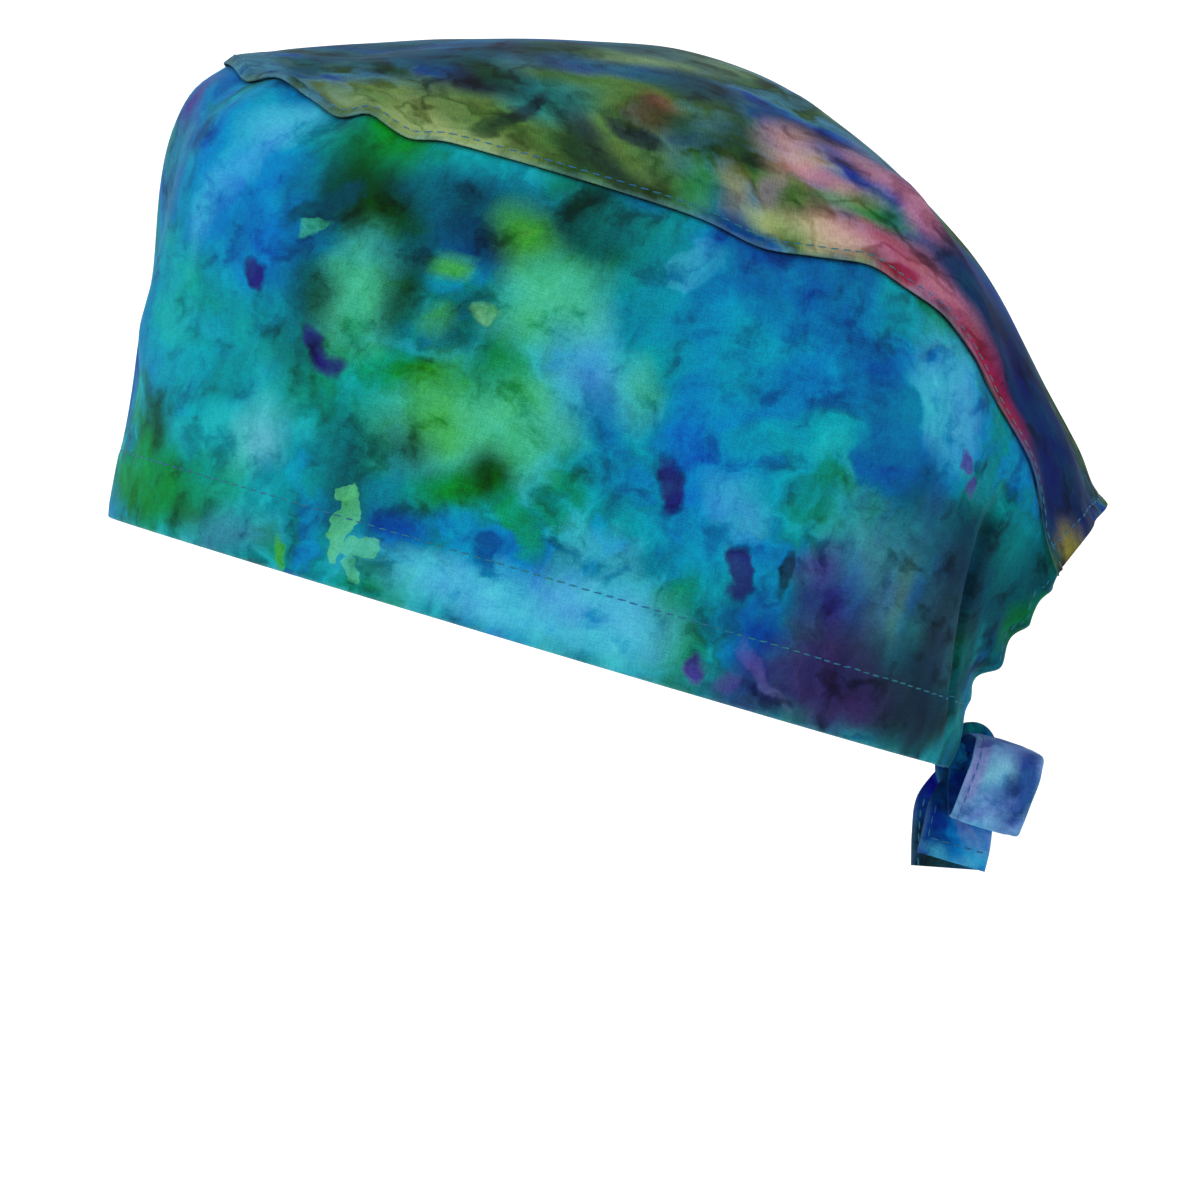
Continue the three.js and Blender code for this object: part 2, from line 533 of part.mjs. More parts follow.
function joined(geometries) {
  const mesh = geometries.map(solidOf).reduce((sum, solid) => sum.add(solid)).getMesh();
  const geometry = new THREE.BufferGeometry();
  geometry.setAttribute('position', new THREE.Float32BufferAttribute(mesh.vertProperties, 3));
  geometry.setIndex([...mesh.triVerts]);
  return geometry;
}

const backCorner = bandPoint(1, 0);
const KNOT = at(0, backCorner.y + KNOT_STAND_OFF, KNOT_LIFT);
const HOLE = { y: KNOT_DEPTH / 2 - KNOT_WALL, z: KNOT_HEIGHT / 2 - KNOT_WALL };
const PLUG_END = KNOT_LENGTH / 2 + 2 * TIE_CLOTH; // where the pleats begin to open beside the knot
const ACROSS = [-1, -0.5, 0, 0.5, 1];

// A tie's pleats inside the knot: a short plug that fills one half of the knot's hole.
function pleats(side) {
  const length = PLUG_END - GAP;
  const plug = new THREE.CylinderGeometry(1, 1, length, PLEAT_FACETS);
  plug.rotateZ(Math.PI / 2);
  plug.scale(1, HOLE.y - GAP, HOLE.z - GAP);
  return plug.translate(side * (GAP + length / 2), KNOT.y, KNOT.z);
}

// The stretch of tie that is sewn inside the band's corner and runs from there into the knot.
function lead(side) {
  const inside = 2 * (CLOTH + GAP);
  const corner = ACROSS.map((share) => LEAD_EDGE + ((1 + share) * TIE_WIDTH) / 2);
  const rows = between(1 - TIE_OVERLAP / BAND_HALF_LENGTH, 1, LEAD_STEPS).map((along) =>
    corner.map((height) => {
      const place = [side * along, height / BAND_HEIGHT];
      return bandPoint(...place).addScaledVector(outwardOf(bandPoint, ...place), -inside);
    }),
  );
  const ends = ACROSS.map((share) => at(side * (PLUG_END - TIE_CLOTH), KNOT.y, KNOT.z + (share * TIE_PLEATED) / 2));
  const last = rows.at(-1);
  for (const share of between(0, 1, TURN_STEPS).slice(1))
    rows.push(last.map((point, i) => point.clone().lerp(ends[i], share)));
  return strip(side < 0 ? rows : rows.map((row) => [...row].reverse()), TIE_CLOTH);
}

// A stretch of the bow along a route's rows, with its width towards the back of the head.
function bowStrip(side, route, reach) {
  const rows = route.map(({ x, y, z, spread, lean = 0 }) => {
    const half = mix(TIE_PLEATED, TIE_WIDTH, spread) / 2;
    const out = PLUG_END - TIE_CLOTH + x * reach.x;
    const middle = at(side * out, KNOT.y + y * TIE_WIDTH, KNOT.z + z * reach.z);
    return ACROSS.map((share) => middle.clone().add(at(0, share * half, share * lean * TIE_WIDTH)));
  });
  return strip(side < 0 ? rows : rows.map((row) => [...row].reverse()), TIE_CLOTH);
}

const LOOP_REACH = { x: LOOP_LENGTH - PLUG_END, z: LOOP_HEIGHT / 2 };

function tie(side, end, endLength) {
  const loop = bowStrip(side, LOOP, LOOP_REACH);
  const free = bowStrip(side, end, { x: LOOP_REACH.x, z: endLength });
  return joined([pleats(side), lead(side), loop, free]);
}

// The turn of tie that goes round the pleats and holds the bow: a ring with rounded shoulders.
function bowKnot() {
  const [half, round] = [KNOT_LENGTH / 2, KNOT_WALL / 2];
  const inner = 1 - KNOT_WALL / (KNOT_HEIGHT / 2);
  const edge = 1 - round / (KNOT_HEIGHT / 2);
  const profile = [
    [inner, -half],
    [edge, -half],
    [1, -half + round],
    [1, half - round],
    [edge, half],
    [inner, half],
    [inner, -half],
  ].map(([radius, along]) => new THREE.Vector2(radius, along));
  const ring = new THREE.LatheGeometry(profile, KNOT_FACETS);
  ring.rotateZ(Math.PI / 2);
  ring.scale(1, KNOT_DEPTH / 2, KNOT_HEIGHT / 2);
  return ring.translate(KNOT.x, KNOT.y, KNOT.z);
}

function piece(name, geometry, color) {
  const mesh = new THREE.Mesh(geometry, new THREE.MeshStandardMaterial({ color, roughness: 0.85, metalness: 0 }));
  mesh.name = name;
  return mesh;
}

const cap = new THREE.Group();
cap.add(
  piece('side_band', sideBand(), COLOURS.azure),
  piece('crown', crown(), COLOURS.green),
  piece('left_tie', tie(1, LEFT_END, LEFT_END_LENGTH), COLOURS.periwinkle),
  piece('right_tie', tie(-1, RIGHT_END, RIGHT_END_LENGTH), COLOURS.royalBlue),
  piece('bow_knot', bowKnot(), COLOURS.teal),
);
cap.rotation.x = THREE.MathUtils.degToRad(-RIM_FALL_DEG);

const root = new THREE.Group();
root.add(cap);
export default root;
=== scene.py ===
import math

import bpy
import numpy as np
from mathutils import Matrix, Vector
from mathutils.bvhtree import BVHTree


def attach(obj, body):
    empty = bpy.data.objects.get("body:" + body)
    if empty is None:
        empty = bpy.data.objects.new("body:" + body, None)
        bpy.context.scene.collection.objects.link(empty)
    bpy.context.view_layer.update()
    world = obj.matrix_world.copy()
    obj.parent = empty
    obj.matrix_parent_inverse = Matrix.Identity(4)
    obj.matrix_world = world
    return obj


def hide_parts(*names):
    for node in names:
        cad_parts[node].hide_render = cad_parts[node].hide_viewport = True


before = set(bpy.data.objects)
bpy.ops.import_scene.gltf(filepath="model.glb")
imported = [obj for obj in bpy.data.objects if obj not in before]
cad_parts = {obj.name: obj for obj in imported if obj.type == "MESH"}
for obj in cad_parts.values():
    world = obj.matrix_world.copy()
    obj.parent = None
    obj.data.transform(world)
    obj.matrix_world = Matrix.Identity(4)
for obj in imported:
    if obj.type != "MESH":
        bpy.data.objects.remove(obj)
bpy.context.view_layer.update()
print("frame loaded")

# Light, floor and camera
studio = {
    "cameraPlace": (1.5, 0.0175, 0.01075),
    "lens": 180,
    "sensor": 36,
    "floorDrop": 0.36,  # floor below the middle of the head opening
    "floorHalf": 4.0,
    "bend": 1.2,  # radius of the sweep from floor to backdrop
    "backdropAt": -2.6,
    "backdropTop": 4.5,
    "paleFloor": (0.95, 0.95, 0.945, 1),
    "worldLight": 0.72,
    "keyPlace": (1.5, -1.5, 1.5),
    "keyPower": 15,
    "keySize": 1.3,
    "fillPlace": (1.4, 1.8, 0.6),
    "fillPower": 3.5,
    "fillSize": 1.8,
    "backPlace": (-1.2, 0, 1.6),  # lights the backdrop alone
    "backPower": 22,
    "backSize": 1.5,
    "bendSteps": 24,
    "floorSide": 1.5,  # its width as a share of its length
    "floorRoughness": 0.9,
    "clipStart": 0.05,
    "clipEnd": 30,
}

# The cap's form in millimetres, laid out square to the rim. along runs from the middle of the brow (0) to the back
# corners (1 on the left side as worn, -1 on the right). height runs from the rim (0) to the crown's seam (1), and
# across from the crown's top line (0) to its seam (1 or -1).
form = {
    "rimLength": 220,
    "rimWidth": 162,
    "rimEgg": 0.06,
    "rimFall": 16.6,  # degrees
    "backGap": 27,
    "bandHeight": 111,
    "bandBulge": 9.5,
    "seamLength": 232,
    "seamWidth": 140,
    "crownRise": 42,
    "crownPuff": 2.6,
    "puffSkew": 1.6,
    "crownCorner": 0.14,
    "browFade": 0.07,
    "browBlend": 0.12,
    "edgeLift": 1.3,
    "edgeLiftFrom": 0.75,
    "edgeFlatFrom": 0.9,
    "lap": 1.6,
    "flatUnderSeam": 4,
    "rippleDrop": 2.4,
    "rippleReach": 0.2,
    "foldWidth": 10,
    "foldDepth": 2,
    "rimFoldShare": 0.1,
    "foldOpenFrom": 0.1,
    "foldOpenTo": 0.3,
    "widest": 0.525,
}
seamLine = {
    "along": [0, 0.075, 0.14, 0.21, 0.28, 0.36, 0.44, 0.525, 0.61, 0.685, 0.755, 0.805, 0.855, 0.91, 0.965, 1],
    "x": [0, 0.335, 0.59, 0.765, 0.88, 0.955, 0.993, 1, 0.99, 0.948, 0.86, 0.785, 0.725, 0.68, 0.615, 0.57],
    "y": [-0.967, -0.944, -0.862, -0.724, -0.569, -0.379, -0.172, 0.043, 0.25, 0.44, 0.599, 0.698, 0.784, 0.888,
          0.966, 1.026],
    "z": [1.057, 1.049, 1.032, 1.009, 1, 1, 1, 0.996, 0.986, 0.99, 0.96, 0.896, 0.806, 0.703, 0.568, 0.491],
    "topY": [-0.967, -0.967, -0.967, -0.853, -0.69, -0.491, -0.276, -0.043, 0.19, 0.422, 0.638, 0.787, 0.913, 1.009,
             1.067, 1.106],
    "rise": [0, 0.03, 0.075, 0.31, 0.51, 0.7, 0.87, 1, 0.985, 0.75, 0.476, 0.298, 0.188, 0.177, 0.348, 0.48],
    "bulge": [0.92, 0.95, 0.95, 0.85, 0.75, 0.68, 0.64, 0.62, 0.62, 0.65, 0.65, 0.6, 0.5, 0.4, 0.2, 0.05],
    "full": [0, 0, 0, 0.3, 0.6, 0.8, 0.8, 0.8, 0.8, 0.9, 1, 1, 1, 0.9, 0.7, 0.6],
}
bandProfileLine = {
    "height": [0, 0.19, 0.36, 0.53, 0.72, 0.83, 0.92, 1],
    "out": [0, 0.17, 0.43, 0.66, 1.07, 1.12, 0.86, 0],
}
creaseLine = {
    "height": [0, 0.155, 0.27, 0.39, 0.5, 0.64, 0.72, 0.815, 0.9, 1],
    "along": [0.955, 0.94, 0.922, 0.902, 0.887, 0.876, 0.875, 0.885, 0.89, 0.89],
    "deep": [0, 0.29, 0.76, 1, 1, 0.9, 0.76, 0.43, 0.07, 0],
}
# side, along, stretch, drop
seamRipples = [
    (1, 0.12, 0.022, 1.0), (1, 0.165, 0.022, -0.67), (1, 0.23, 0.02, 0.83), (1, 0.258, 0.014, -0.58),
    (1, 0.3, 0.02, 0.75), (1, 0.6, 0.035, 0.75), (1, 0.69, 0.025, -0.67), (-1, 0.15, 0.022, 0.92),
    (-1, 0.2, 0.02, -0.67), (-1, 0.31, 0.024, 0.75), (-1, 0.52, 0.03, 0.58), (-1, 0.66, 0.026, -0.67),
]
# side, along, height, toAlong, toHeight, wide, deep
bandFolds = [
    (1, 0.125, 0.98, 0.045, 0.5, 0.9, -0.9),
    (1, 0.17, 0.98, 0.08, 0.42, 1.0, 0.9),
    (1, 0.3, 0.97, 0.26, 0.72, 0.7, -0.7),
    (1, 0.06, 0.3, 0.05, 0.0, 0.9, -0.6),
    (1, 0.84, 0.72, 0.84, 0.48, 1.2, 1.2),
    (-1, 0.83, 0.7, 0.84, 0.42, 1.2, 1.0),
    (-1, 0.15, 0.98, 0.07, 0.5, 1.0, -0.8),
    (-1, 0.2, 0.97, 0.11, 0.4, 1.1, 0.7),
    (1, 1.0, 0.34, 1.0, 0.14, 0.9, -1.2),
    (-1, 1.0, 0.34, 1.0, 0.14, 0.9, -1.2),
]
# side, along, across, toAlong, toAcross, wide, deep
crownFolds = [
    (1, 0.15, 0.95, 0.3, 0.3, 1.1, -0.8),
    (1, 0.62, 0.3, 0.7, 0.62, 0.9, 0.8),
    (1, 0.7, 0.62, 0.82, 0.9, 0.8, 1.2),
    (1, 0.86, 0.45, 1.0, 0.5, 1.1, -0.8),
    (-1, 0.16, 0.95, 0.27, 0.45, 1.1, -0.6),
    (-1, 0.74, 0.5, 0.95, 0.6, 0.8, 1.1),
]


def mix(a, b, t):
    return a + (b - a) * t


def eased(share):
    return share * share * (3 - 2 * share)


def ramp(start, end, t):
    return eased(np.clip((t - start) / (end - start), 0, 1))


def unit(vectors):
    return vectors / np.linalg.norm(vectors, axis=-1, keepdims=True)


def stack(x, y, z):
    return np.stack(np.broadcast_arrays(x, y, z), axis=-1).astype(float)


def hump(away):
    # a smooth hump, 1 high, that has all but died out two widths away
    return np.exp(-away * away)


def onSide(along, side):
    return np.sign(along + 1e-9) == side


def curveThrough(places, values):
    places, values = np.array(places, float), np.array(values, float)
    number = np.arange(len(places))
    before, after = np.maximum(number - 1, 0), np.minimum(number + 1, len(places) - 1)
    slope = (values[after] - values[before]) / (places[after] - places[before])

    def curve(place):
        i = np.clip(np.searchsorted(places, place), 1, len(places) - 1)
        step = places[i] - places[i - 1]
        t = (place - places[i - 1]) / step
        bend = step * t * (1 - t) * ((1 - t) * slope[i - 1] - t * slope[i])
        return mix(values[i - 1], values[i], eased(t)) + bend

    return curve


def throughFront(column, sign):
    # mirrors the seam's columns past the middle of the front
    along, values = seamLine["along"], seamLine[column]
    mirroredAlong = [-a for a in along[:0:-1]]
    mirroredValues = [sign * v for v in values[:0:-1]]
    return curveThrough(mirroredAlong + along, mirroredValues + values)


seamX, seamY = throughFront("x", -1), throughFront("y", 1)
seamZ, seamBulge = throughFront("z", 1), throughFront("bulge", 1)
topStart = seamLine["along"].index(form["crownCorner"])
topAlong = seamLine["along"][topStart:]
topLineY = curveThrough(topAlong, seamLine["topY"][topStart:])
topLineRise = curveThrough(topAlong, seamLine["rise"][topStart:])
topLineFull = curveThrough(topAlong, seamLine["full"][topStart:])
bandProfile = curveThrough(bandProfileLine["height"], bandProfileLine["out"])
creaseAlong = curveThrough(creaseLine["height"], creaseLine["along"])
creaseDeep = curveThrough(creaseLine["height"], creaseLine["deep"])
rimEnd = math.pi - math.asin(form["backGap"] / form["rimWidth"])
nudge = 0.004  # step in shares by which a surface's slope is read
lineSteps = 60  # steps by which a line's length is measured


def rimPoint(along):
    angle = along * rimEnd
    y = -np.cos(angle)
    egg = 1 + form["rimEgg"] * (y + math.cos(rimEnd) * along * along)
    return stack(form["rimWidth"] / 2 * np.sin(angle) * egg, form["rimLength"] / 2 * y, 0)


def rimOutward(along):
    run = rimPoint(along + nudge) - rimPoint(along - nudge)
    return unit(stack(run[..., 1], -run[..., 0], 0))


def seamBase(along):
    x, y = seamX(along) * form["seamWidth"] / 2, seamY(along) * form["seamLength"] / 2
    return stack(x, y, seamZ(along) * form["bandHeight"])


def seamDrop(along):
    total = 0
    for side, place, stretch, drop in seamRipples:
        away = (np.abs(along) - place) / stretch
        total = total + onSide(along, side) * drop * form["rippleDrop"] * hump(away)
    return total


def foldHeight(folds, along, other, alongLength, otherLength):
    total = 0
    for side, a, b, toA, toB, wide, deep in folds:
        startA, startB = a * alongLength, b * otherLength
        runA, runB = toA * alongLength - startA, toB * otherLength - startB
        hereA, hereB = np.abs(along) * alongLength - startA, other * otherLength - startB
        share = np.clip((hereA * runA + hereB * runB) / (runA ** 2 + runB ** 2), 0, 1)
        away = np.hypot(hereA - share * runA, hereB - share * runB) / (wide * form["foldWidth"])
        total = total + onSide(along, side) * deep * form["foldDepth"] * hump(away)
    return total


def bandBase(along, height):
    out = seamBulge(along) * form["bandBulge"] * bandProfile(height)
    point = mix(rimPoint(along), seamBase(along), height[..., None]) + rimOutward(along) * out[..., None]
    point[..., 2] -= seamDrop(along) * ramp(1 - form["rippleReach"], 1, height)
    return point


def outwardOf(surface, first, second):
    run = surface(first + nudge, second) - surface(first - nudge, second)
    rise = surface(first, np.minimum(1, second + nudge)) - surface(first, np.maximum(0, second - nudge))
    return unit(np.cross(run, rise))


def stepLengths(points):
    return np.linalg.norm(np.diff(points, axis=0), axis=1)


def goneAlong(points):
    # how far along the line each of its points lies
    return np.concatenate([[0], np.cumsum(stepLengths(points))])


def lengthOf(line):
    points = line(np.linspace(0, 1, lineSteps + 1))
    return float(stepLengths(points).sum())


flatShare = form["flatUnderSeam"] / form["bandHeight"]
bandHalf = lengthOf(rimPoint)

# Fine forms of the side band
bandCloth = {
    "cloth": 0.5,  # one layer
    "foldRadius": 0.6,
    "rimHem": 19,
    "rimStitchLine": 17.3,
    "backHem": 6.5,
    "backStitchLine": 3.2,
    "topShort": 0.2,  # how far the top edge stops below the seam, under the lap
    "gatherDepth": 1.5,
    "gatherCount": 4.5,
    "gatherFrom": 0.22,
    "gatherTo": 0.97,
    "gatherFade": 0.12,
    "gatherReach": 2.5,
    "creaseDepth": 5.2,
    "creaseFrontWidth": 2.6,
    "creaseBackWidth": 4.5,
    "creaseSetIn": 0.5,
    "creaseRamp": 2,
    "denseFrom": 0.72,  # from here back the columns lie closer
    "hemClear": 3,  # the rows up to here above the hem keep their height on a lower wall
    "stitchedRows": 6.5,  # the closer rows beside the hem's stitches
}
# Steps of the band's columns from the brow to the back hem, and of its rows from the turned hem to the seam
bandColumnSteps = (110, 76, 7, 4)
bandRowSteps = (7, 6, 9, 11, 46)


lineCells, faceCells = 4096, 128  # after so many cells the wandering repeats


def wander(place, seed, length):
    # smooth seeded wandering between -1 and 1 along a line
    heights = np.random.RandomState(seed).uniform(-1, 1, lineCells)
    t = np.asarray(place, float) / length + lineCells // 2
    cell = np.floor(t).astype(int)
    return mix(heights[cell % lineCells], heights[(cell + 1) % lineCells], eased(t - cell))


def wanderOver(u, v, seed, length):
    # smooth seeded wandering between -1 and 1 over a surface
    heights = np.random.RandomState(seed).uniform(-1, 1, (faceCells, faceCells))
    a, b = (np.asarray(place, float) / length + faceCells // 2 for place in (u, v))
    i, j = np.floor(a).astype(int), np.floor(b).astype(int)
    s, t = eased(a - i), eased(b - j)
    i, j = i % faceCells, j % faceCells
    i2, j2 = (i + 1) % faceCells, (j + 1) % faceCells
    low = mix(heights[i, j], heights[i2, j], s)
    high = mix(heights[i, j2], heights[i2, j2], s)
    return mix(low, high, t)


def gather(along, height):
    c = bandCloth
    fromEdge = (1 - np.abs(along)) * bandHalf / (c["gatherReach"] * c["backHem"])
    rise = ramp(c["gatherFrom"], c["gatherFrom"] + c["gatherFade"], height)
    fall = ramp(c["gatherTo"], c["gatherTo"] - c["gatherFade"], height)
    wave = np.sin(2 * math.pi * c["gatherCount"] * height)
    return c["gatherDepth"] * (1 - ramp(0, 1, fromEdge)) * rise * fall * wave


def crease(along, height):
    c = bandCloth
    behind = (np.abs(along) - creaseAlong(height)) * bandHalf
    behind = behind / np.where(behind < 0, c["creaseFrontWidth"], c["creaseBackWidth"])
    setIn = c["creaseSetIn"] * ramp(-c["creaseRamp"], 0, behind)
    return -c["creaseDepth"] * creaseDeep(height) * np.maximum(setIn, hump(behind))


def bandPoint(along, height):
    along, height = np.broadcast_arrays(np.asarray(along, float), np.asarray(height, float))
    clearOfLap = ramp(1 - flatShare, 1 - 3 * flatShare, height)
    opened = ramp(form["foldOpenFrom"], form["foldOpenTo"], height)
    fold = foldHeight(bandFolds, along, height, bandHalf, form["bandHeight"])
    drawn = fold * clearOfLap * mix(form["rimFoldShare"], 1, opened) + crease(along, height) + gather(along, height)
    return bandBase(along, height) + outwardOf(bandBase, along, height) * drawn[..., None]


def bandOutward(along, height):
    along, height = np.broadcast_arrays(np.asarray(along, float), np.asarray(height, float))
    return outwardOf(bandBase, along, height)


def seamTop(along):
    y = topLineY(along) * form["seamLength"] / 2
    return stack(0, y, seamZ(along) * form["bandHeight"] + topLineRise(along) * form["crownRise"])


def browShare(along, share):
    return 1 - ramp(0, 1, (along - form["crownCorner"]) / (form["browFade"] * (1 - share) + 1e-6))


def crownBase(along, across):
    share, side = np.abs(across), np.where(across < 0, -1.0, 1.0)
    corner = form["crownCorner"]
    end = seamBase(along)
    middle = seamBase(np.zeros_like(along))
    top = np.where((along <= corner)[..., None], middle, seamTop(np.maximum(along, corner)))
    fall = (end - top) * np.array([0, 1, 1])
    reach = end[..., 0]
    turn = 2 * np.arctan(np.linalg.norm(fall, axis=-1) / reach)
    arcOut = np.sin(share * turn) / np.sin(turn)
    arcDown = (1 - np.cos(share * turn)) / (1 - np.cos(turn))
    front = seamBase(corner * share)
    cornerPoint = seamBase(np.full_like(along, corner))
    browOut = front[..., 0] / cornerPoint[..., 0]
    browDown = (front[..., 1] - middle[..., 1]) / (cornerPoint[..., 1] - middle[..., 1])
    fromBrow = ramp(corner, corner + form["browBlend"], along)
    out, down = mix(browOut, arcOut, fromBrow), mix(browDown, arcDown, fromBrow)
    puff = form["crownPuff"] * topLineFull(np.maximum(along, corner)) * fromBrow
    puff = puff * np.sin(math.pi * share ** form["puffSkew"]) ** 2
    point = top + fall * down[..., None] - unit(fall) * puff[..., None]
    point[..., 0] = (reach + puff) * out * side
    sideDrop = seamDrop(side * along) * ramp(1 - form["rippleReach"], 1, share)
    point[..., 2] -= mix(sideDrop, seamDrop(side * corner * share), browShare(along, share))
    return point


crownHalf = lengthOf(seamBase)
crownHalfWidth = lengthOf(lambda across: crownBase(np.full_like(across, form["widest"]), across))


def crownPoint(along, across):
    along, across = np.broadcast_arrays(np.asarray(along, float), np.asarray(across, float))
    share, side = np.abs(across), np.where(across < 0, -1.0, 1.0)
    corner = form["crownCorner"]
    brow = browShare(along, share)
    seamAt = mix(side * along, corner * across, brow)
    lift = form["edgeLift"] * np.maximum(ramp(form["edgeLiftFrom"], 1, share), brow)
    opened = ramp(1, form["edgeFlatFrom"], share) * (1 - brow)
    fold = foldHeight(crownFolds, side * along, share, crownHalf, crownHalfWidth) * opened
    outward = outwardOf(lambda a, b: crownBase(b, a), across, np.maximum(along, corner))
    return crownBase(along, across) + outward * fold[..., None] + bandOutward(seamAt, 1) * lift[..., None]


def crownOutward(across, along):
    return outwardOf(lambda a, b: crownPoint(b, a), across, along)


def toScene(points):
    # turns the cap so that its rim falls to the nape, and makes its millimetres metres
    fall = math.radians(form["rimFall"])
    x, y, z = points[..., 0], points[..., 1], points[..., 2]
    turned = stack(x, y * math.cos(fall) + z * math.sin(fall), z * math.cos(fall) - y * math.sin(fall))
    return turned / 1000


def turnedIn(distance, radius):
    # where cloth lies that is folded inwards at an edge: how far from the edge, and how deep behind the face
    angle = np.clip(distance / radius, -math.pi / 2, math.pi / 2)
    beyond = np.maximum(np.abs(distance) - radius * math.pi / 2, 0)
    return radius * (1 - np.cos(angle)) + beyond, radius * (1 - np.sin(angle))


def spread(ends, steps):
    # places along a line, in so many steps between its named ends
    places = [np.linspace(a, b, count, endpoint=False) for a, b, count in zip(ends, ends[1:], steps)]
    return np.concatenate(places + [[ends[-1]]])


def deselectAll():
    for other in bpy.context.selected_objects:
        other.select_set(False)


def selectOnly(piece):
    deselectAll()
    bpy.context.view_layer.objects.active = piece
    piece.select_set(True)


def gridSheet(name, columns, rows):
    # a flat grid whose vertices know their column and row, to be laid in its shape
    deselectAll()
    bpy.ops.mesh.primitive_grid_add(x_subdivisions=len(columns) - 1, y_subdivisions=len(rows) - 1, size=1)
    sheet = bpy.context.active_object
    sheet.name = sheet.data.name = name
    places = np.empty(len(sheet.data.vertices) * 3)
    sheet.data.vertices.foreach_get("co", places)
    places = places.reshape(-1, 3)
    column = np.rint((places[:, 0] + 0.5) * (len(columns) - 1)).astype(int)
    row = np.rint((places[:, 1] + 0.5) * (len(rows) - 1)).astype(int)
    return sheet, column, row


def layIn(piece, points, u, v):
    # moves the vertices to their points, in millimetres, and lays the flat cloth's measures in the UV map
    mesh = piece.data
    mesh.vertices.foreach_set("co", toScene(points).ravel())
    corners = np.empty(len(mesh.loops), int)
    mesh.loops.foreach_get("vertex_index", corners)
    layer = mesh.uv_layers.active or mesh.uv_layers.new(name="FlatCloth")
    layer.name = "FlatCloth"
    layer.data.foreach_set("uv", np.stack([u[corners], v[corners]], axis=-1).ravel() / 1000)
    mesh.update()


def thicken(piece, thickness):
    # gives the sheet its thickness inwards and smooths it
    selectOnly(piece)
    solidify = piece.modifiers.new("cloth", "SOLIDIFY")
    solidify.thickness = thickness / 1000
    solidify.offset = -1
    solidify.use_rim = True
    bpy.ops.object.modifier_apply(modifier=solidify.name)
    bpy.ops.object.shade_smooth()
    return piece


def makeSideBand():
    c = bandCloth
    radius, hem, high = c["foldRadius"], c["backHem"], form["bandHeight"]
    curl = radius * math.pi / 2
    half = spread((0, c["denseFrom"] * bandHalf, bandHalf - curl, bandHalf + curl, bandHalf + hem), bandColumnSteps)
    columns = np.concatenate([-half[:0:-1], half])
    hemTop = c["rimHem"] + c["hemClear"]
    rows = spread((-c["rimHem"], -curl, curl, hemTop - c["stitchedRows"], hemTop, high - c["topShort"]), bandRowSteps)
    sheet, column, row = gridSheet("sideBandCloth", columns, rows)
    u, v = columns[column], rows[row]
    fromBack, behindBack = turnedIn(bandHalf - np.abs(u), radius)
    along = np.sign(u) * (1 - fromBack / bandHalf)
    wall = wallHeight(along)
    v = np.where(v < hemTop, v, hemTop + (v - hemTop) * (wall - hemTop) / (high - hemTop))
    fromRim, behindRim = turnedIn(v, radius)
    height = fromRim / wall
    fine = fineBandForm(along, height)
    outward = outwardOf(bandPoint, along, height)
    points = bandPoint(along, height) + outward * (fine - behindBack - behindRim)[..., None]
    layIn(sheet, points, u, v)
    return thicken(sheet, c["cloth"])


def wallHeight(along):
    return np.linalg.norm(seamBase(along) - rimPoint(along), axis=-1)


# Fine relief in millimetres. A groove is (deep, wide), a pucker (high, seed, long, reach), and each of the swells
# (high, seed, long)
bandRelief = {
    "groove": (-0.28, 1.1),
    "hemPucker": (0.22, 5, 3.4, 4.5),
    "hemStep": (0.35, 2, 4),  # high, from the stitches to where it has gone, and from the rim to where it is full
    "swells": ((0.45, 11, 40), (0.16, 12, 16)),
    "swellRise": 16,
    "swellBelowSeam": 4,
    "seamPucker": (0.3, 6, 4.5, 5),
    "puckerBelowSeam": 6,
}
crownRelief = {
    "groove": (-0.25, 1.1),
    "tailPucker": (0.25, 7, 3.6, 4),
    "swells": ((0.9, 21, 38), (0.4, 22, 17)),
    "swellRise": 14,
    "flatFrom": 0.93,  # share of the half arc from which the crown lies flat on the seam
    "browFlat": 0.04,
}


def groove(away, deep, wide):
    return deep * hump(away / wide)


def pucker(run, away, high, seed, long, reach):
    return high * wander(run, seed, long) * hump(away / reach)


def swellOver(run, rise, swells):
    return sum(high * wanderOver(run, rise, seed, long) for high, seed, long in swells)


def fineBandForm(along, height):
    # puckers beside the stitch lines, and the small uneven swells of worn cloth
    r, line = bandRelief, bandCloth["rimStitchLine"]
    wall = wallHeight(along)
    run, rise = along * bandHalf, height * wall
    fromSeam = wall - rise
    stepHigh, stepFall, stepRise = r["hemStep"]
    hemStep = stepHigh * (1 - ramp(line, line + stepFall, rise)) * ramp(0, stepRise, rise)
    swell = swellOver(run, rise, r["swells"]) * ramp(0, r["swellRise"], rise)
    swell = swell * ramp(r["swellBelowSeam"], r["swellRise"], fromSeam)
    hemPucker = pucker(run, rise - line, *r["hemPucker"])
    seamPucker = pucker(run, fromSeam - r["puckerBelowSeam"], *r["seamPucker"])
    return groove(rise - line, *r["groove"]) + hemPucker + hemStep + swell + seamPucker


crownCloth = {
    "cloth": 0.4,
    "foldRadius": 0.32,
    "lapTurn": 2,
    "halfColumns": 66,
    "halfArc": 88,
    "tailMeasure": 262,  # millimetres of cloth from along 0 to 1
    "tailHem": 6.5,
    "tailStitchLine": 5.2,
    "seamStitchLine": 0.9,
    "denseTo": 0.1,  # share of the tail's measure up to which the rows lie closer
}
# Steps of the lap from the seam out, and of the crown's rows from the brow to the tail's hem
lapSteps = (2, 6, 2)
crownRowSteps = (24, 118, 7, 4)


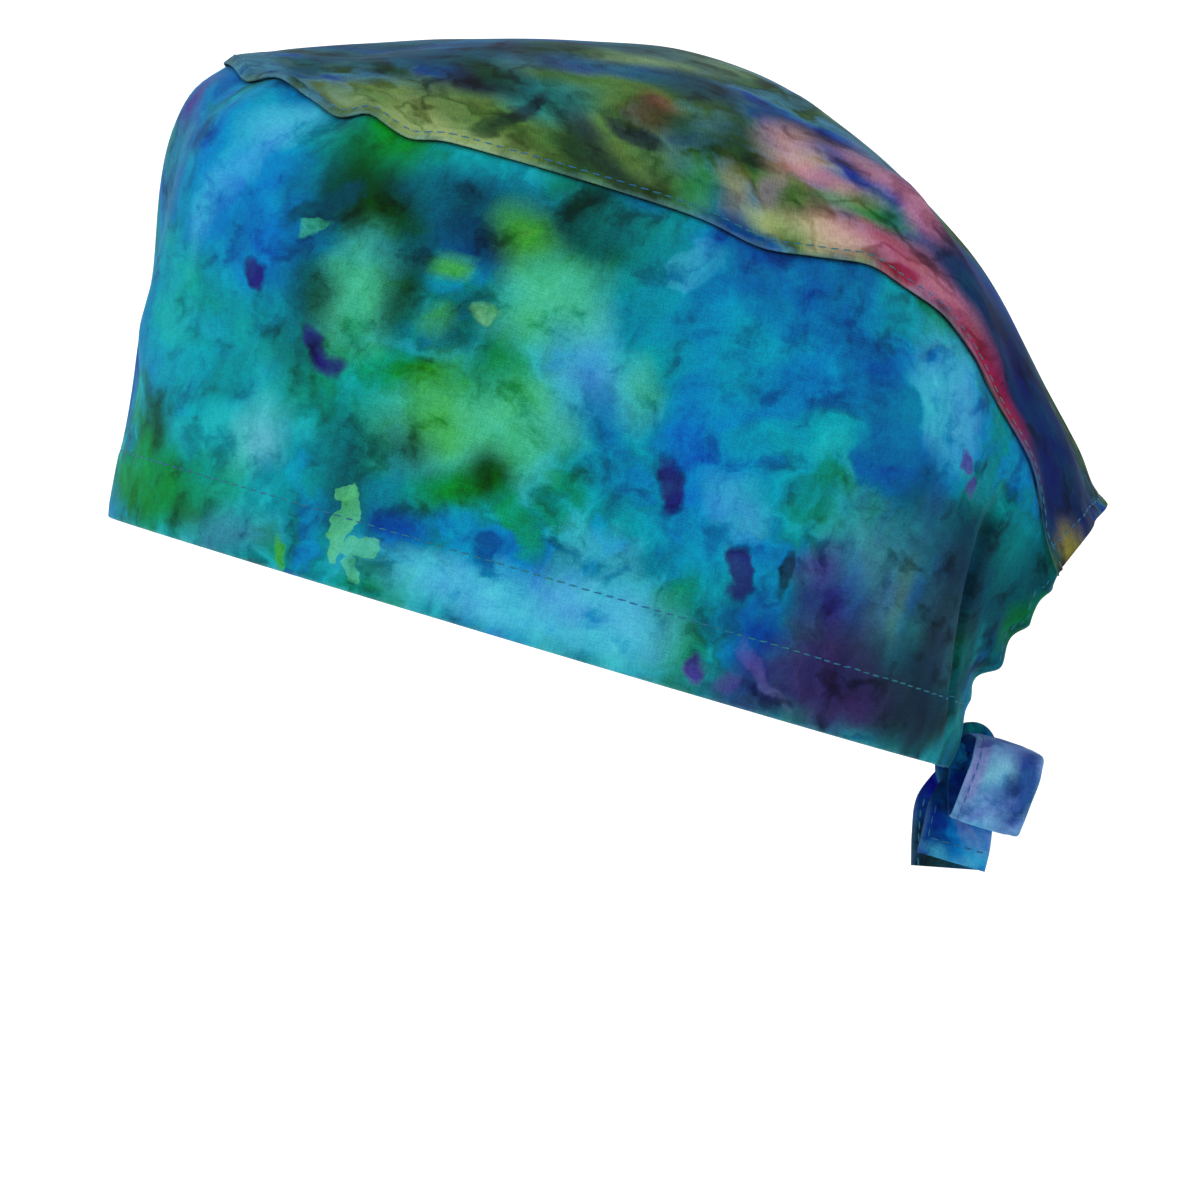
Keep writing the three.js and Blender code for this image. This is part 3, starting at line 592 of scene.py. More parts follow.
def makeCrown():
    c = crownCloth
    radius, corner, lap = c["foldRadius"], form["crownCorner"], form["lap"]
    curl = radius * math.pi / 2
    lapOut = spread((0, lap - curl, lap + curl, lap + c["lapTurn"]), lapSteps)[1:]
    inner = np.linspace(-1, 1, 2 * c["halfColumns"] + 1)
    tail = c["tailMeasure"]
    reach = (1 - corner) * tail + radius * (math.pi / 2 - 1)  # flat length from the brow row to the tail's fold
    overTop = spread((0, c["denseTo"] * tail, reach - curl, reach + curl, reach + c["tailHem"]), crownRowSteps)
    columns = np.concatenate([-1 - lapOut[::-1], inner, 1 + lapOut])
    rows = np.concatenate([-lapOut[::-1], overTop])
    sheet, column, row = gridSheet("crownCloth", columns, rows)
    isSideLap = (column < len(lapOut)) | (column >= len(lapOut) + len(inner))
    isBrowLap = row < len(lapOut)
    across = np.clip(columns[column], -1, 1)
    fromCorner = np.maximum(rows[row], 0)
    fromTail, behindTail = turnedIn(reach - fromCorner, radius)
    along = 1 - fromTail / tail
    fine = fineCrownForm(along, across)
    outward = crownOutward(across, np.maximum(along, corner))
    points = crownPoint(along, across) + outward * (fine - behindTail)[..., None]
    # The lap lies over the band's top edge, with its raw edge turned under.
    side = np.sign(columns[column])
    down = np.where(isSideLap, np.abs(columns[column]) - 1, np.where(isBrowLap, -rows[row], 0))
    place = np.where(isSideLap, side * along, corner * across)
    fromLap, behindLap = turnedIn(lap - down, radius)
    lapHeight = 1 - (lap - fromLap) / wallHeight(place)
    onLap = isSideLap | isBrowLap
    lapPoints = bandPoint(place, lapHeight)
    lapPoints += bandOutward(place, lapHeight) * (form["edgeLift"] - behindLap)[..., None]
    points = np.where(onLap[..., None], lapPoints, points)
    u = across * c["halfArc"] + np.where(isSideLap, side * down, 0)
    v = fromCorner - np.where(isBrowLap, down, 0)
    layIn(sheet, points, u, v)
    # The four corner blocks of the grid hold no cloth.
    isTail = rows[row] > reach
    dropped = isSideLap & (isBrowLap | isTail)
    selectOnly(sheet)
    bpy.ops.object.mode_set(mode="EDIT")
    bpy.ops.mesh.select_all(action="DESELECT")
    bpy.ops.mesh.select_mode(type="VERT")
    bpy.ops.object.mode_set(mode="OBJECT")
    sheet.data.vertices.foreach_set("select", dropped)
    bpy.ops.object.mode_set(mode="EDIT")
    bpy.ops.mesh.delete(type="VERT")
    bpy.ops.mesh.select_all(action="SELECT")
    bpy.ops.mesh.remove_doubles(threshold=0.00001)
    bpy.ops.object.mode_set(mode="OBJECT")
    return thicken(sheet, c["cloth"])


def fineCrownForm(along, across):
    c, r, corner = crownCloth, crownRelief, form["crownCorner"]
    run, side = along * c["tailMeasure"], across * c["halfArc"]
    inside = ramp(1, r["flatFrom"], np.abs(across)) * ramp(corner, corner + r["browFlat"], along)
    fromTail = (1 - along) * c["tailMeasure"]
    swell = swellOver(side, run, r["swells"]) * ramp(0, r["swellRise"], fromTail)
    fromStitches = fromTail - c["tailStitchLine"]
    return (swell + pucker(side, fromStitches, *r["tailPucker"]) + groove(fromStitches, *r["groove"])) * inside


bow = {
    "tieWidth": 17.5,
    "tieCloth": 1.5,
    "tiePleated": 9,
    "tieOverlap": 13,
    "tieFlatShare": 0.93,  # of its width, where it lies flat
    "leadEdge": 0.6,
    "knotLength": 11,
    "knotHeight": 20,
    "knotDepth": 15,
    "knotWall": 3.2,
    "knotStandOff": 4.5,
    "knotLift": 3,
    "loopLength": 31,
    "loopHeight": 20,
    "leftEndLength": 25,
    "rightEndLength": 27.5,
    "gap": 0.3,
    "corner": 3.0,  # how deep inside the band's face the tie's end is sewn
    "plugClear": 0.5,  # between the pleats in the knot and its turn
    "plugPast": 1,  # how far the pleats in the knot reach into the loop
}
# The folded strip: how square its section is across and through, and its relief
ribbon = {
    "ringCount": 28,
    "across": 0.55,
    "through": 0.8,
    "pleatHigh": 0.5,
    "pleatWaves": 1.5,
    "seamDeep": -0.18,
    "seamWide": 0.6,
    "seamFromEdge": 2,
    "soft": 0.35,
    "softSize": 7,
    "backShift": 40,  # of its far face on the flat cloth
}
# Stations along each of a tie's bodies, and where each starts on the flat cloth
tieBodies = {"loop": (84, 0), "end": (36, 90), "lead": (30, 130), "plug": (10, 170)}
knotForm = {
    "ringCount": 72,
    "profileCount": 30,
    "endSquare": 0.6,
    "faceSquare": 0.7,
    "foldHigh": 0.5,
    "foldWaves": 1.25,
    "foldTwist": 0.6,
    "lean": 0.5,
    "inset": 0.3,
    "flatPerTurn": 9,
}
# x, y, z, spread, lean
loopRoute = [
    (0, 0, 0.16, 0, 0), (0.16, 0.08, 0.4, 0.3, 0), (0.34, 0.26, 0.66, 0.7, 0), (0.56, 0.42, 0.64, 0.95, 0),
    (0.8, 0.45, 0.56, 1, 0), (0.94, 0.45, 0.36, 1, 0), (1, 0.46, 0.04, 1, 0), (0.97, 0.44, -0.45, 1, 0),
    (0.84, 0.42, -1.15, 1, 0), (0.7, 0.41, -1.37, 1, 0), (0.52, 0.36, -1.28, 0.9, 0), (0.32, 0.22, -0.86, 0.6, 0),
    (0.14, 0.08, -0.36, 0.25, 0), (0, 0, -0.16, 0, 0),
]
leftEndRoute = [
    (0, 0, -0.1, 0, 0), (0.16, 0.02, -0.24, 0.3, 0), (0.3, 0.07, -0.48, 0.85, 0), (0.36, 0.12, -0.76, 1, 0),
    (0.38, 0.14, -1, 1, 0),
]
rightEndRoute = [
    (0, 0, -0.1, 0, 0), (0.14, -0.03, -0.2, 0.3, 0), (0.24, -0.02, -0.42, 0.9, 0.06), (0.28, 0.08, -0.72, 1, 0.09),
    (0.26, 0.2, -1, 1, 0.11),
]
backCorner = bandPoint(np.array(1.0), np.array(0.0))
knotPlace = np.array([0, backCorner[1] + bow["knotStandOff"], bow["knotLift"]])
plugEnd = bow["knotLength"] / 2 + 2 * bow["tieCloth"]
loopReach = bow["loopLength"] - plugEnd


def meshPiece(name, points, faces, u, v):
    # a mesh in the cap's millimetres, with its flat cloth's measures
    mesh = bpy.data.meshes.new(name)
    mesh.from_pydata(points.tolist(), [], faces)
    piece = bpy.data.objects.new(name, mesh)
    bpy.context.collection.objects.link(piece)
    layIn(piece, points, u, v)
    return piece


def squarer(wave, power):
    # a sine or cosine made squarer, for a section between an oval and an oblong
    return np.sign(wave) * np.abs(wave) ** power


def ringFaces(rings, count, closed=False):
    # the faces between rings of so many points each
    faces = []
    for ring in range(rings if closed else rings - 1):
        here, there = ring * count, (ring + 1) % rings * count
        for i in range(count):
            j = (i + 1) % count
            faces.append((here + i, here + j, there + j, there + i))
    return faces


def facesOf(middles, widths):
    # which way the strip's face looks at each station
    return unit(np.cross(unit(np.gradient(middles, axis=0)), widths))


def ribbonBody(middles, halves, widths, seed, startAt=0.0):
    # folded tie cloth along a route: an oval ring of points at each station, closed at both ends.
    # middles are the stations, halves half the width there, and widths the unit directions across.
    r = ribbon
    count, stations = r["ringCount"], len(middles)
    turn = np.linspace(0, 2 * math.pi, count, endpoint=False)
    across, through = squarer(np.cos(turn), r["across"]), squarer(np.sin(turn), r["through"])
    gone = goneAlong(middles) + startAt
    pleated = ramp(bow["tieWidth"] / 2, bow["tiePleated"] / 2, halves)[:, None]
    crossMm = across * halves[:, None]
    pleat = pleated * r["pleatHigh"] * np.cos(2 * math.pi * r["pleatWaves"] * across)
    edgeSeam = groove(np.abs(crossMm) - (halves[:, None] - r["seamFromEdge"]), r["seamDeep"], r["seamWide"])
    soft = r["soft"] * wanderOver(crossMm, gone[:, None] + 0 * crossMm, seed, r["softSize"])
    thick = bow["tieCloth"] / 2 * through + np.sign(through) * edgeSeam * (1 - pleated)
    lift = thick + pleat + soft
    face = facesOf(middles, widths)
    points = middles[:, None, :] + widths[:, None, :] * crossMm[..., None] + face[:, None, :] * lift[..., None]
    points = np.concatenate([points.reshape(-1, 3), [middles[0], middles[-1]]])
    faces = ringFaces(stations, count)
    first, last, lastRing = len(points) - 2, len(points) - 1, (stations - 1) * count
    for i in range(count):
        j = (i + 1) % count
        faces += [(first, j, i), (last, lastRing + i, lastRing + j)]
    u = np.concatenate([(crossMm + np.where(through < 0, r["backShift"], 0)).ravel(), [0, 0]])
    v = np.concatenate([np.repeat(gone, count), [gone[0], gone[-1]]])
    return points, faces, u, v


def smoothRoute(stations, count):
    # many stations through a few
    stations = np.asarray(stations, float)
    gone = goneAlong(stations[:, :3])
    fine = np.linspace(0, gone[-1], count)
    return np.stack([curveThrough(gone, stations[:, k])(fine) for k in range(stations.shape[1])], axis=-1)


def bowRoute(side, route, reachZ, body):
    rows = []
    for x, y, z, spreadShare, lean in route:
        out = plugEnd - bow["tieCloth"] + x * loopReach
        half = mix(bow["tiePleated"], bow["tieWidth"], spreadShare) / 2
        rows.append((side * out, knotPlace[1] + y * bow["tieWidth"], knotPlace[2] + z * reachZ, half,
                     lean * bow["tieWidth"] / half))
    fine = smoothRoute(rows, tieBodies[body][0])
    return fine[:, :3], fine[:, 3], unit(stack(0, 1, fine[:, 4]))


def leadRoute(side):
    # from inside the band's corner into the knot
    shares = np.array([-1.0, 1.0])
    heights = (bow["leadEdge"] + (1 + shares) * bow["tieWidth"] / 2) / form["bandHeight"]
    inside = bow["corner"] + bow["tieCloth"] / 2
    rows = []
    for along in np.linspace(1 - bow["tieOverlap"] / bandHalf, 1, 5):
        place = np.full(2, side * along)
        rows.append(bandPoint(place, heights) - outwardOf(bandPoint, place, heights) * inside)
    end = stack(side * (plugEnd - bow["tieCloth"]), knotPlace[1], knotPlace[2] + shares * bow["tiePleated"] / 2)
    rows = np.array(rows + [mix(rows[-1], end, share) for share in (1 / 3, 2 / 3, 1)])
    middles, reaches = rows.mean(axis=1), rows[:, 1] - rows[:, 0]
    halves = np.linalg.norm(reaches, axis=1) / 2
    fine = smoothRoute(np.concatenate([middles, halves[:, None], unit(reaches)], axis=1), tieBodies["lead"][0])
    return fine[:, :3], fine[:, 3], unit(fine[:, 4:7])


def bowRoutes(side, endRoute, endLength):
    return bowRoute(side, loopRoute, bow["loopHeight"] / 2, "loop"), bowRoute(side, endRoute, endLength, "end")


def plugRoute(side):
    # the pleats inside the knot
    count = tieBodies["plug"][0]
    out = side * np.linspace(bow["gap"], plugEnd + bow["plugPast"], count)
    half = bow["knotHeight"] / 2 - bow["knotWall"] - bow["plugClear"]
    return stack(out, knotPlace[1], knotPlace[2]), np.full(count, half), np.tile([0.0, 0, 1], (count, 1))


def makeTie(name, side, endRoute, endLength, seed):
    routes = [*bowRoutes(side, endRoute, endLength), leadRoute(side), plugRoute(side)]
    allPoints, allFaces, allU, allV, start = [], [], [], [], 0
    for number, (route, (_, startAt)) in enumerate(zip(routes, tieBodies.values())):
        points, faces, u, v = ribbonBody(*route, seed + number, startAt)
        allPoints.append(points)
        allFaces += [tuple(start + i for i in face) for face in faces]
        allU.append(u)
        allV.append(v)
        start += len(points)
    piece = meshPiece(name, np.concatenate(allPoints), allFaces, np.concatenate(allU), np.concatenate(allV))
    turnOutward(piece)
    return piece


def turnOutward(piece):
    selectOnly(piece)
    bpy.ops.object.mode_set(mode="EDIT")
    bpy.ops.mesh.select_all(action="SELECT")
    bpy.ops.mesh.normals_make_consistent(inside=False)
    bpy.ops.object.mode_set(mode="OBJECT")
    bpy.ops.object.shade_smooth()


def makeKnot():
    k = knotForm
    shape = k["ringCount"], k["profileCount"]
    turn, around = (np.linspace(0, 2 * math.pi, count, endpoint=False) for count in shape)
    turn = turn[:, None]
    half, wall = bow["knotLength"] / 2, bow["knotWall"] / 2
    x = half * squarer(np.cos(around), k["endSquare"])
    out = wall * squarer(np.sin(around), k["faceSquare"])
    outer = ramp(-0.2, 0.6, np.sin(around))
    folds = k["foldHigh"] * np.cos(2 * math.pi * k["foldWaves"] * x / half + k["foldTwist"] * np.sin(turn)) * outer
    beyond = out + folds - wall - k["inset"]
    points = stack(x + k["lean"] * np.sin(turn + k["foldTwist"]) * outer,
                   knotPlace[1] + np.cos(turn) * (bow["knotDepth"] / 2 + beyond),
                   knotPlace[2] + np.sin(turn) * (bow["knotHeight"] / 2 + beyond))
    u, v = (np.broadcast_to(measure, shape).ravel() for measure in (x, np.abs(turn - math.pi) * k["flatPerTurn"]))
    piece = meshPiece("bowKnotWrap", points.reshape(-1, 3), ringFaces(*shape, closed=True), u, v)
    turnOutward(piece)
    return piece


sideBand = makeSideBand()
print("side band laid")
crown = makeCrown()
print("crown laid")
leftTie = makeTie("leftTieRibbon", 1, leftEndRoute, bow["leftEndLength"], 31)
rightTie = makeTie("rightTieRibbon", -1, rightEndRoute, bow["rightEndLength"], 41)
knot = makeKnot()
print("bow tied")


# Dyes, as sRGB hex
dyes = {
    "azure": "1284c8", "cerulean": "0a86bd", "ocean": "0c66a6", "cobalt": "0b479a", "sky": "58bce0", "ice": "93d6e6",
    "aqua": "2aa8b4", "teal": "0a7f88", "deepTeal": "08485c", "sea": "118c74", "mint": "50c094", "leaf": "13892f",
    "forest": "053a16", "lime": "4aae3a", "paleLeaf": "82cc84", "jade": "62c48e", "slate": "3f7590",
    "violet": "4d3c92", "lavender": "8a88ca", "indigo": "262a72", "plum": "33295e", "night": "132036",
    "olive": "6b8a4e", "paleOlive": "9fb478", "moss": "4a7538", "pine": "1c3c22", "mustard": "a59a36",
    "rust": "7c4838", "sage": "7a9a72", "rose": "c47c92", "mauve": "8c7494", "peach": "dcae96", "cream": "d2cca4",
    "crimson": "96204a", "navy": "0c2a5e", "royal": "123f86", "periwinkle": "6f9bd2",
}
# How the dye runs in the cloth, in millimetres
dyeRun = {
    "broadWander": 42, "broadReach": 14, "fineWander": 8, "fineReach": 6, "washWander": ((30, 4), (11, 2.2), (5, 1.2)),
    "groundSize": 34, "mottleSize": 10, "poolSize": 19, "veinSize": 17, "veinWide": 0.07, "driftSize": 15,
    "drift": 0.1, "rich": 1.04, "streakWide": 5, "streakLong": 40, "poolShift": (310, 90, 0),
    "veinShift": (70, 520, 0), "driftShift": (900, 200, 0),
}
# Where each tone starts and is full on its noise, and how strong it is
tones = {
    "mottleLight": (0.52, 0.78, 0.25), "mottleDark": (0.5, 0.25, 0.75), "pool": (0.6, 0.72, 0.16),
    "streakLight": (0.5, 0.75, 0.14), "streakDark": (0.5, 0.25, 0.22), "veinPatch": (0.45, 0.6),
    "yarnLight": (0.95, 1.3, 0.15), "yarnDark": (1.05, 0.72, 0.2), "edgeWear": (2.0, 0.0),
}
weave = {
    "pitch": 0.5, "slubWide": 0.35, "slubLong": 2.2, "creaseSize": 7, "over": 0.2, "yarn": 0.22, "crumple": 2.2,
    "bumpDepth": 0.00025, "bump": 0.55,
}
wear = {"reach": 1.6, "patches": 5, "pale": 0.14, "rough": 0.06}
cotton = {"rough": 0.7, "yarnRough": 0.12, "specular": 0.1, "sheen": 0.03, "sheenRough": 0.45}
# Each panel's dye on the flat cloth, in millimetres, and on the band a painted shade along the rear crease: soft
# washes, and the crisper splashes over them
# u, v, long, wide, turn, dye, strength, crispness
bandWashes = [
    (56, 82, 46, 33, -72, "azure", 0.95, 0.2), (36, 49, 48, 17, -65, "aqua", 0.75, 0.2),
    (23, 87, 31, 23, -44, "slate", 0.5, 0.1), (65, 109, 25, 7, -19, "ocean", 0.8, 0.2),
    (57, 102, 14, 8, 18, "sky", 0.6, 0.1), (47, 81, 27, 6, 75, "sky", 0.55, 0.1),
    (56, 94, 21, 5, 74, "sky", 0.5, 0.1), (25, 103, 15, 11, -47, "violet", 0.5, 0.1),
    (56, 75, 14, 10, -74, "cobalt", 0.5, 0.1), (68, 32, 38, 32, -49, "aqua", 0.85, 0.2),
    (75, 29, 14, 12, 85, "ice", 0.3, 0.1), (59, 40, 14, 12, -18, "teal", 0.6, 0.1),
    (42, 12, 44, 15, 5, "leaf", 0.9, 0.3), (64, 11, 17, 7, 0, "pine", 0.5, 0.1),
    (35, 27, 13, 9, -33, "forest", 0.9, 0.1), (79, 4, 24, 10, 1, "slate", 0.6, 0.1),
    (85, 102, 29, 17, -19, "leaf", 0.85, 0.2), (86, 92, 28, 21, -5, "forest", 1.0, 0.2),
    (82, 111, 13, 5, -6, "leaf", 0.8, 0.2), (110, 101, 29, 17, -4, "ocean", 0.7, 0.2),
    (114, 98, 26, 17, -4, "deepTeal", 0.95, 0.3), (122, 93, 13, 12, 11, "night", 0.7, 0.1),
    (78, 57, 24, 16, -68, "deepTeal", 0.55, 0.1), (89, 68, 21, 15, -82, "mint", 0.85, 0.2),
    (99, 73, 21, 9, -87, "forest", 0.9, 0.1), (78, 68, 20, 10, -60, "forest", 0.8, 0.1),
    (108, 83, 9, 6, 18, "lime", 0.85, 0.3), (118, 71, 19, 14, 20, "forest", 0.6, 0.1),
    (124, 96, 17, 9, -50, "lime", 0.8, 0.1), (133, 81, 19, 17, 21, "mint", 0.9, 0.2),
    (136, 102, 22, 13, -54, "forest", 0.95, 0.2), (109, 69, 8, 6, 45, "lime", 0.6, 0.1),
    (148, 102, 20, 15, -3, "teal", 0.9, 0.2), (101, 38, 29, 14, -71, "sea", 0.7, 0.1),
    (120, 47, 28, 19, 31, "mint", 0.85, 0.2), (115, 52, 17, 11, -72, "lime", 0.6, 0.1),
    (137, 49, 22, 13, -73, "mint", 0.8, 0.2), (124, 33, 24, 8, 32, "leaf", 0.9, 0.1),
    (111, 39, 12, 11, -70, "forest", 0.7, 0.1), (120, 48, 13, 12, 19, "lime", 0.5, 0.1),
    (131, 39, 10, 9, -89, "forest", 1.0, 0.2), (99, 28, 24, 11, -70, "deepTeal", 0.8, 0.1),
    (146, 24, 14, 5, -47, "ocean", 0.7, 0.2), (113, 18, 16, 11, 17, "cobalt", 0.6, 0.1),
    (136, 7, 40, 13, 0, "sky", 0.9, 0.2), (166, 11, 27, 17, 0, "sky", 0.9, 0.2),
    (145, 65, 24, 13, -73, "sky", 0.8, 0.1), (150, 85, 19, 13, -73, "teal", 0.75, 0.1),
    (153, 50, 28, 9, -55, "ocean", 0.7, 0.1), (176, 88, 41, 36, 26, "cerulean", 0.95, 0.3),
    (176, 58, 31, 28, -79, "azure", 0.8, 0.1), (173, 112, 16, 7, 1, "cobalt", 0.6, 0.1),
    (174, 84, 17, 13, -75, "aqua", 0.5, 0.3), (156, 64, 17, 9, -73, "mint", 0.45, 0.1),
    (161, 26, 13, 10, -2, "sky", 0.5, 0.1), (178, 36, 14, 13, -79, "azure", 0.6, 0.1),
    (183, 48, 21, 11, -74, "sky", 0.5, 0.1), (222, 87, 27, 18, -57, "sky", 0.75, 0.2),
    (224, 35, 38, 25, -58, "slate", 0.9, 0.2), (221, 18, 31, 22, 0, "plum", 0.85, 0.1),
    (229, 26, 15, 10, -25, "night", 0.6, 0.1), (220, 11, 11, 6, -2, "plum", 0.7, 0.1),
    (209, 8, 21, 7, -2, "indigo", 0.7, 0.1), (216, 33, 15, 8, -55, "cobalt", 0.4, 0.1),
    (240, 9, 34, 9, -1, "night", 0.7, 0.2), (209, 28, 15, 12, -57, "indigo", 0.8, 0.2),
    (205, 35, 9, 8, -23, "violet", 0.7, 0.1), (193, 21, 18, 10, -4, "cobalt", 0.6, 0.1),
    (213, 52, 9, 5, -68, "sea", 0.3, 0.1), (233, 40, 17, 5, -75, "moss", 0.5, 0.1),
    (220, 64, 15, 13, -50, "cobalt", 0.6, 0.1), (239, 54, 20, 6, -47, "violet", 0.6, 0.1),
    (256, 39, 20, 14, 69, "night", 0.85, 0.1), (252, 18, 28, 20, -21, "deepTeal", 0.9, 0.2),
    (246, 40, 32, 9, -64, "slate", 0.8, 0.1), (230, 57, 17, 8, -64, "slate", 0.6, 0.1),
    (277, 50, 83, 19, -11, "deepTeal", 0.9, 0.4), (268, 61, 21, 11, -18, "teal", 0.7, 0.1),
    (247, 30, 31, 10, -65, "night", 0.6, 0.1), (284, 36, 20, 11, -25, "deepTeal", 0.7, 0.1),
    (21, 109, 14, 5, 90, "violet", 0.9, 0.1), (247, 38, 30, 13, 84, "night", 0.55, 0.1),
    # The night wash at u 259, v 44, long and narrow along the rear crease, is painted shade in the fold.
    (198, 2, 20, 10, 0, "indigo", 0.7, 0.2), (259, 44, 42, 4.6, -72, "night", 0.5, 0.1),
    (247, 46, 36, 7, -74, "night", 0.4, 0.1), (278, 50, 60, 14, 85, "deepTeal", 0.6, 0.2),
    (281, 44, 14, 6, 60, "leaf", 0.6, 0.1), (262, 20, 26, 10, 70, "deepTeal", 0.7, 0.2),
    (246, 9, 30, 19, 0, "night", 0.85, 0.3), (219, 9, 32, 20, 10, "plum", 0.95, 0.3),
    (-40, 70, 50, 34, 60, "aqua", 0.85, 0.2), (-30, 25, 44, 20, -10, "sea", 0.8, 0.2),
    (-70, 95, 30, 16, 10, "azure", 0.8, 0.2), (-90, 60, 26, 16, -60, "mint", 0.85, 0.2),
    (-84, 14, 34, 12, 5, "sky", 0.8, 0.2), (-112, 90, 26, 14, -10, "leaf", 0.85, 0.2),
    (-120, 64, 16, 10, 70, "forest", 0.85, 0.1), (-128, 34, 28, 14, 20, "cerulean", 0.85, 0.2),
    (-140, 96, 24, 14, 0, "lime", 0.6, 0.1), (-152, 72, 26, 18, 80, "ocean", 0.8, 0.2),
    (-160, 18, 30, 14, 0, "aqua", 0.85, 0.2), (-182, 92, 34, 18, 12, "teal", 0.9, 0.3),
    (-196, 66, 20, 10, 60, "sky", 0.7, 0.3), (-204, 26, 30, 18, 10, "cobalt", 0.8, 0.2),
    (-212, 14, 14, 8, -20, "lavender", 0.6, 0.2), (-226, 60, 24, 14, -50, "sea", 0.8, 0.2),
    (-232, 86, 22, 14, -50, "cerulean", 0.85, 0.3), (-244, 32, 26, 12, 80, "plum", 0.75, 0.2),
    (-258, 20, 24, 14, 0, "deepTeal", 0.8, 0.2), (-272, 54, 40, 20, -20, "teal", 0.9, 0.3),
    (-270, 64, 10, 5, 60, "leaf", 0.6, 0.2),
]
bandSplashes = [
    (64, 68, 6, 3.9, -72, "indigo", 0.95, 0.35), (91, 6, 5, 2.3, -70, "lime", 0.7, 0.2),
    (95, 2, 3, 2, 16, "cobalt", 0.8, 0.2), (75, 88, 12, 3.5, 42, "deepTeal", 0.85, 0.2),
    (75, 83, 5, 1.7, 46, "mint", 0.6, 0.4), (119, 72, 4, 3.3, -4, "paleLeaf", 0.5, 0.2),
    (85, 53, 7, 3.2, -54, "indigo", 0.85, 0.1), (90, 49, 6, 3.9, 23, "indigo", 0.85, 0.1),
    (139, 28, 14, 4, -51, "leaf", 0.7, 0.1), (105, 16, 10, 2.6, -81, "jade", 0.75, 0.8),
    (111, 12, 4, 3.4, 55, "jade", 0.65, 0.8), (111, 5, 4, 1.8, -63, "jade", 0.6, 0.8),
    (102, 23, 3, 1.7, 16, "jade", 0.7, 0.8), (185, 101, 24, 15, -3, "ocean", 0.9, 0.4),
    (158, 100, 8, 6, 49, "sky", 0.4, 0.4), (207, 77, 22, 10, -69, "ocean", 0.9, 0.6),
    (192, 65, 16, 7, 18, "aqua", 0.5, 0.4), (169, 48, 10, 4, -73, "indigo", 0.95, 0.2),
    (188, 31, 7, 3.1, -73, "indigo", 0.95, 0.3), (185, 6, 5, 3.3, -73, "violet", 0.95, 0.2),
    (194, 5, 4, 4, -65, "violet", 0.6, 0.1), (233, 74, 3, 2.5, -57, "violet", 0.8, 0.3),
    (238, 69, 4, 2.6, -46, "violet", 0.8, 0.3), (198, 34, 7, 2.4, -85, "night", 0.8, 0.3),
    (202, 10, 15, 2.6, -34, "lavender", 0.2, 0.1), (285, 43, 12, 2.5, 88, "leaf", 0.6, 0.2),
    (-66, 52, 9, 6, 40, "indigo", 0.9, 0.4), (-172, 50, 12, 5, -70, "violet", 0.9, 0.4),
    (-100, 40, 4, 2.4, 30, "plum", 0.9, 0.4), (-216, 74, 3, 2, 60, "violet", 0.8, 0.4),
    (-142, 52, 5, 3, 10, "jade", 0.8, 0.7),
]
